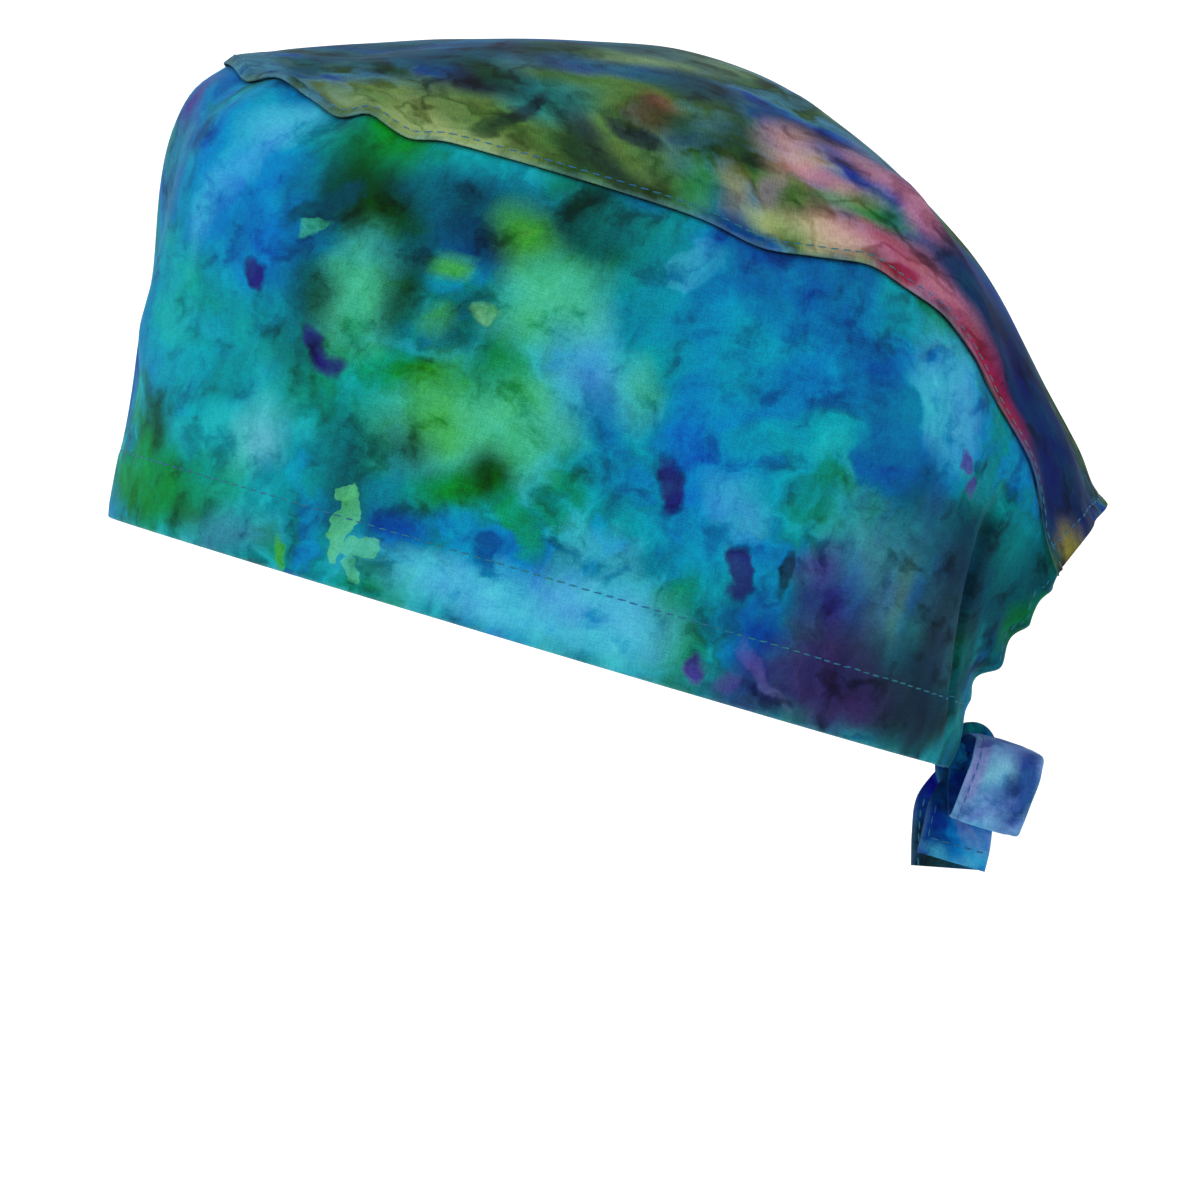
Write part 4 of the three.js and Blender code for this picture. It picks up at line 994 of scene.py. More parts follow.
crownWashes = [
    (10, 60, 90, 40, 90, "deepTeal", 0.9, 0.3), (80, 58, 60, 20, 88, "olive", 0.95, 0.3),
    (56, 84, 40, 16, 80, "moss", 0.8, 0.2), (52, 52, 34, 9, 70, "forest", 0.7, 0.1),
    (60, 36, 22, 6, 60, "pine", 0.6, 0.1), (84, 40, 24, 8, 88, "paleOlive", 0.6, 0.2),
    (45, 3, 60, 10, 0, "slate", 0.9, 0.3), (52, 40, 40, 10, 80, "ocean", 0.5, 0.1),
    (40, 30, 30, 9, 70, "pine", 0.6, 0.1), (64, 5, 35, 12, -10, "slate", 0.6, 0.2),
    (50, 21, 37, 11, -28, "deepTeal", 0.8, 0.2), (48, 51, 28, 21, 87, "deepTeal", 0.9, 0.3),
    (60, 37, 20, 6, 32, "forest", 0.7, 0.1), (31, 57, 20, 13, 66, "azure", 0.6, 0.2),
    (46, 26, 28, 7, -29, "deepTeal", 0.7, 0.1), (79, 66, 25, 19, -85, "moss", 0.9, 0.3),
    (63, 62, 13, 8, -66, "night", 0.95, 0.2), (67, 75, 14, 10, -48, "teal", 0.7, 0.2),
    (79, 76, 13, 6, -35, "pine", 0.95, 0.2), (34, 75, 22, 11, -49, "forest", 0.8, 0.2),
    (28, 102, 27, 15, -50, "sage", 0.7, 0.2), (46, 87, 23, 10, -79, "cobalt", 0.7, 0.2),
    (47, 104, 17, 14, 76, "night", 0.7, 0.1), (79, 92, 19, 15, -75, "moss", 0.8, 0.1),
    (63, 95, 10, 8, -22, "rust", 0.85, 0.1), (83, 85, 19, 5, 73, "pine", 0.85, 0.2),
    (81, 103, 15, 10, -47, "leaf", 0.6, 0.1), (77, 113, 10, 6, 4, "mustard", 0.5, 0.1),
    (88, 55, 16, 12, -83, "paleOlive", 0.6, 0.2), (63, 114, 17, 10, -19, "pine", 0.75, 0.1),
    (60, 126, 16, 11, -7, "peach", 0.6, 0.1), (67, 130, 10, 5, 73, "rose", 0.6, 0.1),
    (75, 122, 10, 5, -15, "mauve", 0.6, 0.1), (69, 137, 8, 6, 71, "peach", 0.5, 0.1),
    (52, 140, 18, 6, 5, "mauve", 0.7, 0.1), (84, 137, 15, 6, 79, "cream", 0.75, 0.2),
    (83, 122, 11, 6, 89, "paleOlive", 0.8, 0.2), (73, 141, 12, 7, 89, "leaf", 0.7, 0.2),
    (74, 134, 8, 5, -85, "sage", 0.7, 0.2), (85, 149, 8, 5, -45, "pine", 0.7, 0.2),
    (63, 148, 24, 7, 45, "rose", 0.8, 0.2), (84, 157, 17, 11, 16, "mauve", 0.9, 0.3),
    (61, 157, 14, 8, 8, "crimson", 0.7, 0.1), (91, 168, 14, 12, -32, "rose", 0.85, 0.2),
    (93, 182, 15, 11, -31, "crimson", 0.95, 0.3), (17, 141, 55, 18, 6, "slate", 0.8, 0.3),
    (47, 104, 31, 10, 88, "deepTeal", 0.6, 0.2), (67, 167, 44, 19, -20, "navy", 0.95, 0.4),
    (67, 189, 46, 24, 1, "navy", 0.95, 0.5), (72, 211, 52, 21, -4, "navy", 0.95, 0.4),
    (42, 171, 32, 13, -16, "cobalt", 0.6, 0.2), (73, 222, 12, 9, -60, "mustard", 0.7, 0.1),
    (10, 64, 50, 16, 90, "slate", 0.6, 0.1), (66, 196, 44, 22, 90, "navy", 0.85, 0.3),
    (60, 66, 16, 8, 50, "forest", 0.8, 0.1), (74, 80, 14, 6, 20, "night", 0.7, 0.1),
    (66, 98, 18, 7, 70, "forest", 0.7, 0.1), (22, 90, 40, 12, 70, "deepTeal", 0.8, 0.2),
    (34, 60, 30, 10, 60, "night", 0.7, 0.1), (83, 156, 36, 10, 84, "rose", 0.8, 0.2),
    (86, 184, 28, 9, 88, "crimson", 0.85, 0.2), (80, 150, 12, 6, 60, "crimson", 0.5, 0.1),
    (80, 224, 10, 8, 60, "mustard", 0.6, 0.1), (82, 205, 14, 8, 60, "navy", 0.7, 0.1),
    (60, 224, 20, 8, 0, "plum", 0.3, 0.2), (-20, 20, 40, 20, 10, "moss", 0.8, 0.2),
    (-64, 26, 36, 20, -10, "teal", 0.8, 0.2), (-50, 62, 28, 14, 30, "slate", 0.8, 0.2),
    (-78, 78, 24, 14, 60, "leaf", 0.7, 0.2), (-30, 96, 30, 14, 0, "cobalt", 0.8, 0.2),
    (-70, 116, 22, 14, 40, "olive", 0.8, 0.3), (-40, 132, 20, 10, -30, "rose", 0.75, 0.2),
    (-76, 150, 20, 12, 20, "aqua", 0.8, 0.2), (-20, 160, 30, 16, 40, "navy", 0.9, 0.3),
    (-60, 178, 24, 14, -20, "mauve", 0.8, 0.2), (-84, 190, 14, 8, 0, "crimson", 0.8, 0.2),
    (-44, 206, 30, 16, 10, "cobalt", 0.8, 0.3), (-10, 128, 20, 12, 60, "sage", 0.8, 0.2),
    (6, 70, 24, 14, 20, "ocean", 0.7, 0.2),
]
crownSplashes = [
    (72, 67, 16, 2.5, -37, "night", 0.8, 0.1), (70, 92, 10, 3.9, 60, "night", 0.8, 0.1),
    (75, 125, 9, 3, 2, "moss", 0.6, 0.1), (90, 153, 7, 4, -47, "crimson", 0.85, 0.2),
    (86, 225, 26, 1.5, -8, "crimson", 0.6, 0.2), (80, 60, 10, 4.4, -40, "pine", 0.7, 0.2),
    (-34, 76, 5, 3, 40, "night", 0.9, 0.4),
]
leftTieWashes = [
    (0, 30, 40, 24, 90, "periwinkle", 0.95, 0.4), (-1, 14, 10, 7, 20, "cobalt", 0.5, 0.1),
    (0, 30, 9, 6, 0, "ice", 0.5, 0.1), (1, 48, 10, 7, 0, "sky", 0.7, 0.2), (-6, 30, 16, 4, 90, "lavender", 0.8, 0.3),
    (7, 30, 18, 4, 90, "royal", 0.85, 0.3), (0, 100, 8, 8, 0, "royal", 0.8, 0.2), (0, 113, 10, 3, 0, "sky", 0.7, 0.3),
]
rightTieWashes = [
    (0, 30, 16, 10, 80, "cobalt", 0.8, 0.2), (0, 60, 14, 9, 0, "teal", 0.8, 0.2),
    (0, 112, 16, 10, 0, "pine", 0.8, 0.2), (3, 98, 6, 5, 20, "ocean", 0.7, 0.2),
]
# Place on the ramp of the cloth's own unevenness, and dye
bandGround = [(0.3, "ocean"), (0.74, "leaf"), (0.4, "cerulean"), (0.47, "teal"), (0.54, "aqua"), (0.62, "sea")]
crownGround = [(0.3, "navy"), (0.72, "olive"), (0.4, "cobalt"), (0.47, "slate"), (0.54, "pine"), (0.62, "moss")]
tieGround = [(0.34, "navy"), (0.68, "periwinkle"), (0.44, "royal"), (0.53, "cobalt"), (0.6, "azure")]
knotGround = [(0.36, "deepTeal"), (0.66, "sea"), (0.46, "teal"), (0.54, "cobalt")]


def dyeColour(name):
    # from its hex to the shader's linear colour
    shares = [int(dyes[name][i:i + 2], 16) / 255 for i in (0, 2, 4)]
    return [s / 12.92 if s <= 0.04045 else ((s + 0.055) / 1.055) ** 2.4 for s in shares] + [1]


def setOrLink(tree, socket, value):
    if isinstance(value, bpy.types.NodeSocket):
        tree.links.new(value, socket)
    else:
        socket.default_value = value


def addNode(tree, kind, values, **settings):
    node = tree.nodes.new("ShaderNode" + kind)
    for setting, choice in settings.items():
        setattr(node, setting, choice)
    for socket, value in values.items():
        setOrLink(tree, node.inputs[socket], value)
    return node


def calc(tree, operation, *values):
    return addNode(tree, "Math", dict(enumerate(values)), operation=operation).outputs[0]


def vectorCalc(tree, operation, *values):
    node = addNode(tree, "VectorMath", dict(enumerate(values)), operation=operation)
    return node.outputs["Value" if operation == "DOT_PRODUCT" else "Vector"]


def noise(tree, cloth, size, detail=3, roughness=0.6):
    # evenly spread noise over the flat cloth, for lumps of a size in millimetres
    values = {"Vector": cloth, "Scale": 1 / size, "Detail": detail, "Roughness": roughness}
    return addNode(tree, "TexNoise", values, noise_dimensions="2D")


def blend(tree, share, under, over, how="MIX"):
    node = addNode(tree, "Mix", {0: share, 6: under, 7: over}, data_type="RGBA", blend_type=how)
    return node.outputs[2]


def smoothShare(tree, value, start, end, top=1.0):
    values = {"Value": value, "From Min": start, "From Max": end, "To Min": 0.0, "To Max": top}
    return addNode(tree, "MapRange", values, interpolation_type="SMOOTHSTEP").outputs[0]


def newMaterial(name):
    material = bpy.data.materials.new(name)
    material.use_nodes = True
    return material, material.node_tree, material.node_tree.nodes["Principled BSDF"]


def dyeRamp(tree, value, stops):
    # the first two dyes take the ramp's own two stops
    node = addNode(tree, "ValToRGB", {"Fac": value})
    own = node.color_ramp.elements
    for number, (at, dye) in enumerate(stops):
        stop = own[number] if number < 2 else own.new(at)
        stop.position = at
        stop.color = dyeColour(dye)
    return node.outputs["Color"]


def setRelief(tree, shader, height, strength, depth):
    bump = addNode(tree, "Bump", {"Height": height, "Strength": strength, "Distance": depth})
    tree.links.new(bump.outputs["Normal"], shader.inputs["Normal"])


def newGroup(name, inputs, outputs):
    group = bpy.data.node_groups.new(name, "ShaderNodeTree")
    for way, sockets in (("INPUT", inputs), ("OUTPUT", outputs)):
        for socket, kind in sockets.items():
            group.interface.new_socket(name=socket, in_out=way, socket_type="NodeSocket" + kind)
    return group, group.nodes.new("NodeGroupInput").outputs, group.nodes.new("NodeGroupOutput").inputs


def makeClothWander():
    # lets the dye's edges wander as they do in wet cotton
    group, given, result = newGroup("clothWander", {"Cloth": "Vector"}, {"Wandered": "Vector"})
    d = dyeRun
    moved = given["Cloth"]
    for size, reach in ((d["broadWander"], d["broadReach"]), (d["fineWander"], d["fineReach"])):
        lumps = noise(group, given["Cloth"], size, 2.5).outputs["Color"]
        lumps = vectorCalc(group, "SUBTRACT", lumps, (0.5, 0.5, 0.5))
        moved = vectorCalc(group, "ADD", moved, vectorCalc(group, "MULTIPLY", lumps, (reach, reach, 0)))
    group.links.new(moved, result["Wandered"])
    return group


def makeDyeSplash():
    # one splash of dye: a turned oval whose edge is soft or crisp. The axes measure how far out a place is, as a
    # share of the splash's reach, from its flat place with 1 as the third number
    inputs = {"Under": "Color", "Tint": "Color", "Cloth": "Vector", "LongAxis": "Vector", "WideAxis": "Vector",
              "Strength": "Float", "Crispness": "Float"}
    group, given, result = newGroup("dyeSplash", inputs, {"Colour": "Color"})
    far = [vectorCalc(group, "DOT_PRODUCT", given["Cloth"], given[axis]) for axis in ("LongAxis", "WideAxis")]
    far = calc(group, "MULTIPLY_ADD", far[0], far[0], calc(group, "MULTIPLY", far[1], far[1]))
    share = smoothShare(group, far, 1.0, given["Crispness"], given["Strength"])
    group.links.new(blend(group, share, given["Under"], given["Tint"]), result["Colour"])
    return group


def makeDyeBloom():
    # mottling, light pools, tide marks and streaks over any dye
    inputs = {"Colour": "Color", "Cloth": "Vector", "Wandered": "Vector", "Vein": "Float"}
    group, given, result = newGroup("dyeBloom", inputs, {"Colour": "Color"})
    d = dyeRun
    mottle = noise(group, given["Wandered"], d["mottleSize"], 4, 0.58).outputs[0]
    light = smoothShare(group, mottle, *tones["mottleLight"])
    dark = smoothShare(group, mottle, *tones["mottleDark"])
    colour = blend(group, dark, given["Colour"], given["Colour"], "MULTIPLY")
    colour = blend(group, light, colour, given["Colour"], "SCREEN")
    pool, vein, drift = (vectorCalc(group, "ADD", given["Wandered"], d[shift])
                         for shift in ("poolShift", "veinShift", "driftShift"))
    pool = noise(group, pool, d["poolSize"], 2, 0.5).outputs[0]
    colour = blend(group, smoothShare(group, pool, *tones["pool"]), colour, colour, "SCREEN")
    vein = noise(group, vein, d["veinSize"], 2, 0.5).outputs[0]
    fromVein = calc(group, "ABSOLUTE", calc(group, "SUBTRACT", vein, 0.5))
    line = smoothShare(group, fromVein, d["veinWide"], 0.0, given["Vein"])
    patch = noise(group, given["Cloth"], 2 * d["broadWander"], 1, 0.5).outputs[0]
    line = calc(group, "MULTIPLY", line, smoothShare(group, patch, *tones["veinPatch"]))
    colour = blend(group, line, colour, colour, "MULTIPLY")
    streakPlace = vectorCalc(group, "MULTIPLY", given["Wandered"], (1, d["streakWide"] / d["streakLong"], 0))
    streak = noise(group, streakPlace, d["streakWide"], 2, 0.5).outputs[0]
    colour = blend(group, smoothShare(group, streak, *tones["streakLight"]), colour, colour, "SCREEN")
    colour = blend(group, smoothShare(group, streak, *tones["streakDark"]), colour, colour, "MULTIPLY")
    drift = noise(group, drift, d["driftSize"], 2.5).outputs[0]
    hue = calc(group, "MULTIPLY_ADD", calc(group, "SUBTRACT", drift, 0.5), d["drift"], 0.5)
    drifted = addNode(group, "HueSaturation", {"Hue": hue, "Saturation": d["rich"], "Color": colour})
    group.links.new(drifted.outputs["Color"], result["Colour"])
    return group


def makeFoldedEdge():
    # how near a point of the flat cloth is to the fold round an oblong, for its wear
    inputs = {"Cloth": "Vector", "Middle": "Vector", "Half": "Vector", "Reach": "Float"}
    group, given, result = newGroup("foldedEdge", inputs, {"Wear": "Float"})
    away = vectorCalc(group, "ABSOLUTE", vectorCalc(group, "SUBTRACT", given["Cloth"], given["Middle"]))
    away = vectorCalc(group, "ABSOLUTE", vectorCalc(group, "SUBTRACT", away, given["Half"]))
    apart = addNode(group, "SeparateXYZ", {"Vector": away}).outputs
    near = calc(group, "MINIMUM", apart["X"], apart["Y"])
    patchy = noise(group, given["Cloth"], wear["patches"], 2).outputs[0]
    near = calc(group, "DIVIDE", near, calc(group, "MULTIPLY", given["Reach"], patchy))
    group.links.new(smoothShare(group, near, *tones["edgeWear"]), result["Wear"])
    return group


def makeCottonWeave():
    # plain weave with uneven yarns, and the fine crumple of washed cotton
    group, given, result = newGroup("cottonWeave", {"Cloth": "Vector"}, {"Height": "Float", "Yarn": "Float"})
    w = weave
    apart = addNode(group, "SeparateXYZ", {"Vector": given["Cloth"]}).outputs
    waves = [calc(group, "SINE", calc(group, "MULTIPLY", apart[way], 2 * math.pi / w["pitch"])) for way in "XY"]
    over = calc(group, "MULTIPLY", *waves)
    slubs = []
    for across in ((w["slubWide"], w["slubLong"], 1), (w["slubLong"], w["slubWide"], 1)):
        stretched = vectorCalc(group, "DIVIDE", given["Cloth"], across)
        slubs.append(noise(group, stretched, 1, 1, 0.5).outputs[0])
    yarn = calc(group, "ADD", *slubs)
    crumple = noise(group, given["Cloth"], w["creaseSize"], 3).outputs[0]
    height = calc(group, "MULTIPLY_ADD", over, w["over"], calc(group, "MULTIPLY", yarn, w["yarn"]))
    group.links.new(calc(group, "MULTIPLY_ADD", crumple, w["crumple"], height), result["Height"])
    group.links.new(yarn, result["Yarn"])
    return group


clothWander, dyeSplash, dyeBloom = makeClothWander(), makeDyeSplash(), makeDyeBloom()
foldedEdge, cottonWeave = makeFoldedEdge(), makeCottonWeave()


def placeGroup(tree, group, **values):
    node = tree.nodes.new("ShaderNodeGroup")
    node.node_tree = group
    for socket, value in values.items():
        setOrLink(tree, node.inputs[socket], value)
    return node.outputs


def turnParts(turn):
    return math.cos(math.radians(turn)), math.sin(math.radians(turn))


def layWash(piece, washes, seed):
    # lays the soft washes over each other on the flat cloth, as a colour attribute whose alpha is their cover
    mesh = piece.data
    flat = np.empty(len(mesh.loops) * 2)
    mesh.uv_layers["FlatCloth"].data.foreach_get("uv", flat)
    u, v = flat.reshape(-1, 2).T * 1000
    run, rise = u, v
    for size, reach in dyeRun["washWander"]:
        run = run + reach * wanderOver(u, v, seed, size)
        rise = rise + reach * wanderOver(u, v, seed + 1, size)
        seed += 2
    colour, cover = np.zeros((len(u), 3)), np.zeros((len(u), 1))
    for across, up, long, wide, turn, dye, strength, crispness in washes:
        turnCos, turnSin = turnParts(turn)
        far = np.hypot(((run - across) * turnCos + (rise - up) * turnSin) / long,
                       ((rise - up) * turnCos - (run - across) * turnSin) / wide)
        share = strength * ramp(1, crispness, far)[:, None]
        colour, cover = mix(colour, np.array(dyeColour(dye)[:3]), share), mix(cover, 1, share)
    wash = mesh.color_attributes.new("DyeAndShadeWash", "FLOAT_COLOR", "CORNER")
    wash.data.foreach_set("color", np.concatenate([colour / np.maximum(cover, 0.001), cover], axis=1).ravel())


def dyedCotton(name, ground, splashes, vein, edgeMiddle, edgeHalf, shift):
    # ground is (place on the ramp, dye)
    cloth, tree, shader = newMaterial(name)
    flat = addNode(tree, "UVMap", {}, uv_map="FlatCloth").outputs["UV"]
    place = vectorCalc(tree, "MULTIPLY", flat, (1000, 1000, 0))
    moved = vectorCalc(tree, "ADD", place, shift)
    wandered = placeGroup(tree, clothWander, Cloth=moved)["Wandered"]
    patches = noise(tree, wandered, dyeRun["groundSize"], 4, 0.55).outputs[0]
    # The wash attribute holds the washes' dye, and on the band the painted shade along the rear crease.
    wash = addNode(tree, "Attribute", {}, attribute_name="DyeAndShadeWash").outputs
    colour = blend(tree, wash["Alpha"], dyeRamp(tree, patches, ground), wash["Color"])
    overCloth = vectorCalc(tree, "SUBTRACT", wandered, (shift[0], shift[1], -1))
    for u, v, long, wide, turn, dye, strength, crispness in splashes:
        turnCos, turnSin = turnParts(turn)
        longAxis = (turnCos / long, turnSin / long, -(u * turnCos + v * turnSin) / long)
        wideAxis = (-turnSin / wide, turnCos / wide, (u * turnSin - v * turnCos) / wide)
        colour = placeGroup(tree, dyeSplash, Under=colour, Tint=dyeColour(dye), Cloth=overCloth, LongAxis=longAxis,
                            WideAxis=wideAxis, Strength=strength, Crispness=crispness)["Colour"]
    colour = placeGroup(tree, dyeBloom, Colour=colour, Cloth=moved, Wandered=wandered, Vein=vein)["Colour"]
    worn = placeGroup(tree, foldedEdge, Cloth=place, Middle=edgeMiddle, Half=edgeHalf, Reach=wear["reach"])["Wear"]
    colour = blend(tree, calc(tree, "MULTIPLY", worn, wear["pale"]), colour, dyeColour("ice"))
    woven = placeGroup(tree, cottonWeave, Cloth=place)
    colour = blend(tree, smoothShare(tree, woven["Yarn"], *tones["yarnLight"]), colour, colour, "SCREEN")
    colour = blend(tree, smoothShare(tree, woven["Yarn"], *tones["yarnDark"]), colour, colour, "MULTIPLY")
    tree.links.new(colour, shader.inputs["Base Color"])
    plain = calc(tree, "MULTIPLY_ADD", worn, wear["rough"], cotton["rough"])
    roughness = calc(tree, "MULTIPLY_ADD", woven["Yarn"], cotton["yarnRough"], plain)
    tree.links.new(roughness, shader.inputs["Roughness"])
    setRelief(tree, shader, woven["Height"], weave["bump"], weave["bumpDepth"])
    shader.inputs["Specular IOR Level"].default_value = cotton["specular"]
    shader.inputs["Sheen Weight"].default_value = cotton["sheen"]
    shader.inputs["Sheen Roughness"].default_value = cotton["sheenRough"]
    return cloth


thread = {
    "patches": 28.0,  # how many to a metre
    "twists": 900.0,
    "uneven": 1.5,
    "shade": 0.35,
    "rough": 0.5,
    "twistRough": 0.15,
    "bump": 0.4,
    "bumpDepth": 0.0001,
}


def makeThreadDye():
    # sewing thread that took up the dyes round it, with its twist
    material, tree, shader = newMaterial("dyedThread")
    place = addNode(tree, "TexCoord", {}).outputs["Object"]
    patches = addNode(tree, "TexNoise", {"Vector": place, "Scale": thread["patches"], "Detail": 3.0}).outputs[0]
    colour = dyeRamp(tree, patches, [(0.38, "ocean"), (0.62, "teal")])
    values = {"Vector": place, "Scale": thread["twists"], "Distortion": thread["uneven"]}
    twist = addNode(tree, "TexWave", values, bands_direction="DIAGONAL").outputs["Fac"]
    shade = calc(tree, "MULTIPLY", twist, thread["shade"])
    tree.links.new(blend(tree, shade, colour, dyeColour("night")), shader.inputs["Base Color"])
    roughness = calc(tree, "MULTIPLY_ADD", twist, thread["twistRough"], thread["rough"])
    tree.links.new(roughness, shader.inputs["Roughness"])
    setRelief(tree, shader, twist, thread["bump"], thread["bumpDepth"])
    return material


crownReach = (1 - form["crownCorner"]) * crownCloth["tailMeasure"]
crownHalfFlat = crownCloth["halfArc"] + form["lap"]
farAway = 1000  # an edge that has no fold to wear
bandVein, crownVein, tieVein = 0.16, 0.6, 0.3
bandEdge = ((0, farAway, 0), (bandHalf, farAway, 0))
crownEdge = ((0, crownReach / 2, 0), (crownHalfFlat, crownReach / 2 + form["lap"], 0))
tieEdge = ((0, farAway, 0), (bow["tieWidth"] / 2, farAway, 0))
# piece, dye, ground, washes, splashes, vein, edge, shift on the noise, seed
for piece, dye, ground, washes, splashes, vein, edge, shift, seed in (
        (sideBand, "bandDyeAndCreaseShade", bandGround, bandWashes, bandSplashes, bandVein, bandEdge, (0, 0, 0), 61),
        (crown, "crownDye", crownGround, crownWashes, crownSplashes, crownVein, crownEdge, (400, 300, 0), 71),
        (leftTie, "leftTieDye", tieGround, leftTieWashes, [], tieVein, tieEdge, (700, 100, 0), 81),
        (rightTie, "rightTieDye", tieGround, rightTieWashes, [], tieVein, tieEdge, (900, 500, 0), 91),
        (knot, "knotDye", knotGround, [], [], tieVein, tieEdge, (500, 800, 0), 95)):
    piece.data.materials.append(dyedCotton(dye, ground, splashes, vein, *edge, shift))
    layWash(piece, washes, seed)
threadDye = makeThreadDye()
print("cloth dyed")

# Stitches in millimetres
stitch = {
    "long": 2.2,
    "wide": 0.42,
    "high": 0.34,
    "pitch": 3.0,
    "uneven": 0.12,
    "slant": 5,  # degrees
    "startFrom": 4,  # from the cloth's edge
    "tieLine": 1.9,  # from the tie's edge
    "tieHem": 4,  # from its end
    "leastTilt": 0.4,  # shares of the slant
    "mostTilt": 1.2,
    "rimLower": 0.3,  # the rim's stitches lie this far below the middle of their groove
    "backFrom": 2,  # above the rim's hem
    "backTo": 0.5,  # share of the band's height
    "seamTo": 0.985,
    "tailTo": 0.97,
}
# Points along each line that stitches follow
lineCounts = {"rim": 500, "back": 120, "seam": 300, "brow": 200, "tail": 160, "tie": 24}


def makeStitch():
    # one stitch, lying along X
    deselectAll()
    bpy.ops.mesh.primitive_uv_sphere_add(segments=6, ring_count=5, radius=0.5, rotation=(0, math.pi / 2, 0))
    one = bpy.context.active_object
    bpy.ops.object.transform_apply(location=False, rotation=True, scale=False)
    one.scale = [stitch[side] / 1000 for side in ("long", "wide", "high")]
    bpy.ops.object.transform_apply(location=False, rotation=False, scale=True)
    return one


oneStitch = makeStitch()
stitchPoints = np.array([vertex.co[:] for vertex in oneStitch.data.vertices])
stitchFaces = [tuple(face.vertices) for face in oneStitch.data.polygons]
bpy.data.objects.remove(oneStitch)


def stitchRow(name, carrier, lines, seed):
    # copies the stitch along lines of points near the carrier's face, and lays each copy on the face
    surface = BVHTree.FromPolygons([vertex.co[:] for vertex in carrier.data.vertices],
                                   [tuple(face.vertices) for face in carrier.data.polygons])
    chance = np.random.RandomState(seed)
    points, faces = [], []
    for line in lines:
        found = [surface.find_nearest(Vector(place)) for place in toScene(line)]
        places = np.array([hit[0][:] for hit in found])
        gone = goneAlong(places)
        pitch = stitch["pitch"] / 1000
        for at in np.arange(pitch / 2, gone[-1], pitch):
            at = at + chance.uniform(-1, 1) * stitch["uneven"] / 1000
            number = int(np.clip(np.searchsorted(gone, at), 1, len(gone) - 1))
            here = [np.interp(at, gone, places[:, k]) for k in range(3)]
            hit, out = surface.find_nearest(Vector(here))[:2]
            run = unit(places[number] - places[number - 1])
            out = np.array(out[:])
            side = unit(np.cross(out, run))
            run = np.cross(side, out)
            tiltCos, tiltSin = turnParts(stitch["slant"] * chance.uniform(stitch["leastTilt"], stitch["mostTilt"]))
            run, side = run * tiltCos + side * tiltSin, side * tiltCos - run * tiltSin
            start = len(points) * len(stitchPoints)
            points.append(np.array(hit[:]) + stitchPoints @ np.stack([run, side, out]))
            faces += [tuple(start + i for i in face) for face in stitchFaces]
    mesh = bpy.data.meshes.new(name)
    mesh.from_pydata(np.concatenate(points).tolist(), [], faces)
    row = bpy.data.objects.new(name, mesh)
    bpy.context.collection.objects.link(row)
    row.data.materials.append(threadDye)
    turnOutward(row)
    return row


def bandLine(u, v):
    # points a little off the band's face, over flat measures
    along = np.asarray(u) / bandHalf
    height = np.asarray(v) / wallHeight(along)
    return bandPoint(along, height) + bandOutward(along, height)


def crownLine(across, along):
    return crownPoint(along, across) + crownOutward(across, along)


def tieStitches(name, tie, side, endRoute, endLength, seed):
    # stitches along one edge of the folded strip, and across its hemmed end, on both faces
    lines = []
    routes = bowRoutes(side, endRoute, endLength)
    for off in (-bow["tieCloth"], bow["tieCloth"]):
        for middles, halves, widths in routes:
            flat = halves > bow["tieFlatShare"] * bow["tieWidth"] / 2
            face = facesOf(middles, widths)
            line = middles + widths * (stitch["tieLine"] - halves)[:, None] + face * off
            lines.append(line[flat])
        # The hem goes by the last of the two routes, which is the free end's.
        toEnd = np.linalg.norm(middles - middles[-1], axis=1)
        last = int(np.argmin(np.abs(toEnd - stitch["tieHem"])))
        half, inset = halves[last], stitch["tieLine"]
        across = np.linspace(inset - half, half - inset / 2, lineCounts["tie"])
        lines.append(middles[last] + widths[last] * across[:, None] + face[last] * off)
    return stitchRow(name, tie, lines, seed)


def makeStitches():
    b, c, s, n = bandCloth, crownCloth, stitch, lineCounts
    rimTo = bandHalf - s["startFrom"]
    rimLine = bandLine(np.linspace(-rimTo, rimTo, n["rim"]), np.full(n["rim"], b["rimStitchLine"] - s["rimLower"]))
    rows = [stitchRow("rimStitches", sideBand, [rimLine], 51)]
    rise = np.linspace(b["rimHem"] + s["backFrom"], form["bandHeight"] * s["backTo"], n["back"])
    backRun = np.full(n["back"], bandHalf - b["backStitchLine"])
    rows.append(stitchRow("backEdgeStitches", sideBand, [bandLine(side * backRun, rise) for side in (-1, 1)], 52))
    browRow = form["crownCorner"] + c["seamStitchLine"] / c["tailMeasure"]
    edge = 1 - c["seamStitchLine"] / c["halfArc"]
    run, side = np.linspace(s["seamTo"], browRow, n["seam"]), np.full(n["seam"], edge)
    brow = crownLine(np.linspace(edge, -edge, n["brow"]), np.full(n["brow"], browRow))
    rows.append(stitchRow("crownSeamStitches", crown, [crownLine(side, run), brow, crownLine(-side, run[::-1])], 53))
    tailRow = np.full(n["tail"], 1 - c["tailStitchLine"] / c["tailMeasure"])
    tailLine = crownLine(np.linspace(-s["tailTo"], s["tailTo"], n["tail"]), tailRow)
    rows.append(stitchRow("tailStitches", crown, [tailLine], 54))
    return rows


rimStitches, backStitches, seamStitches, tailStitches = makeStitches()
leftTieStitches = tieStitches("leftTieStitches", leftTie, 1, leftEndRoute, bow["leftEndLength"], 55)
rightTieStitches = tieStitches("rightTieStitches", rightTie, -1, rightEndRoute, bow["rightEndLength"], 56)
for row, slot in ((rimStitches, "band_cloth"), (backStitches, "band_cloth"), (seamStitches, "crown_cloth"),
                  (tailStitches, "crown_cloth"), (leftTieStitches, "left_tie_cloth"),
                  (rightTieStitches, "right_tie_cloth")):
    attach(row, "root")
print("stitches laid")

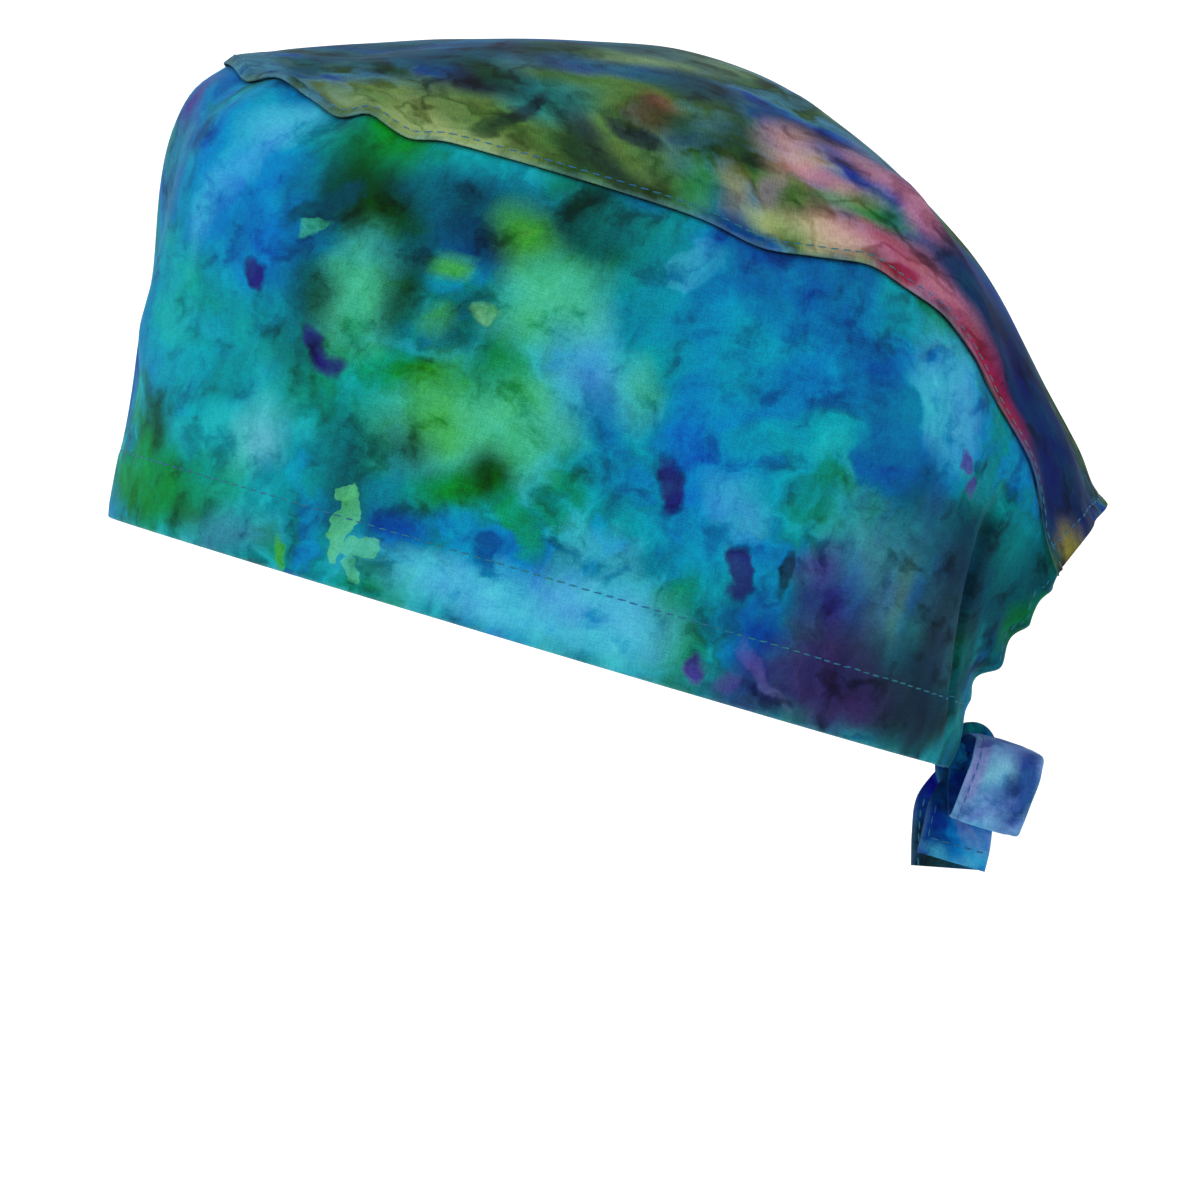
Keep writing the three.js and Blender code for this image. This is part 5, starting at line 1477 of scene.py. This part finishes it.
for piece, node, slot in ((sideBand, "side_band", "band_cloth"), (crown, "crown", "crown_cloth"),
                          (leftTie, "left_tie", "left_tie_cloth"), (rightTie, "right_tie", "right_tie_cloth"),
                          (knot, "bow_knot", "knot_cloth")):
    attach(piece, "root")
    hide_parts(node)


def makeStudio():
    s = studio
    deselectAll()
    bendLine = [(s["floorHalf"], -s["floorDrop"])]
    for i in range(s["bendSteps"] + 1):
        angle = math.pi / 2 * i / s["bendSteps"]
        bendLine.append((s["backdropAt"] + s["bend"] - s["bend"] * math.sin(angle),
                         -s["floorDrop"] + s["bend"] - s["bend"] * math.cos(angle)))
    bendLine.append((s["backdropAt"], s["backdropTop"]))
    bpy.ops.mesh.primitive_grid_add(x_subdivisions=len(bendLine) - 1, y_subdivisions=1, size=1)
    floor = bpy.context.active_object
    floor.name = "floorSweep"
    for vertex in floor.data.vertices:
        column = round((vertex.co.x + 0.5) * (len(bendLine) - 1))
        x, z = bendLine[len(bendLine) - 1 - column]
        vertex.co = (x, vertex.co.y * 2 * s["floorHalf"] * s["floorSide"], z)
    bpy.ops.object.shade_smooth()
    pale, _, shader = newMaterial("paleFloor")
    shader.inputs["Base Color"].default_value = s["paleFloor"]
    shader.inputs["Roughness"].default_value = s["floorRoughness"]
    floor.data.materials.append(pale)

    world = bpy.context.scene.world or bpy.data.worlds.new("studioAir")
    bpy.context.scene.world = world
    world.use_nodes = True
    air = world.node_tree.nodes["Background"].inputs
    air["Color"].default_value = (1, 1, 1, 1)
    air["Strength"].default_value = s["worldLight"]
    for name, aim in (("key", (0, 0, 0)), ("fill", (0, 0, 0)), ("back", (s["backdropAt"], 0, 0))):
        deselectAll()
        bpy.ops.object.light_add(type="AREA", location=s[name + "Place"])
        lamp = bpy.context.active_object
        lamp.name = name + "Light"
        lamp.data.energy = s[name + "Power"]
        lamp.data.shape = "DISK"
        lamp.data.size = s[name + "Size"]
        toward = Vector(aim) - lamp.location
        lamp.rotation_mode = "QUATERNION"
        lamp.rotation_quaternion = toward.to_track_quat("-Z", "Y")
    deselectAll()
    bpy.ops.object.camera_add(location=s["cameraPlace"], rotation=(math.pi / 2, 0, math.pi / 2))
    camera = bpy.context.active_object
    camera.data.lens = s["lens"]
    camera.data.sensor_width = s["sensor"]
    camera.data.clip_start, camera.data.clip_end = s["clipStart"], s["clipEnd"]
    bpy.context.scene.camera = camera
    bpy.context.scene.view_settings.view_transform = "Standard"


makeStudio()
print("studio set")
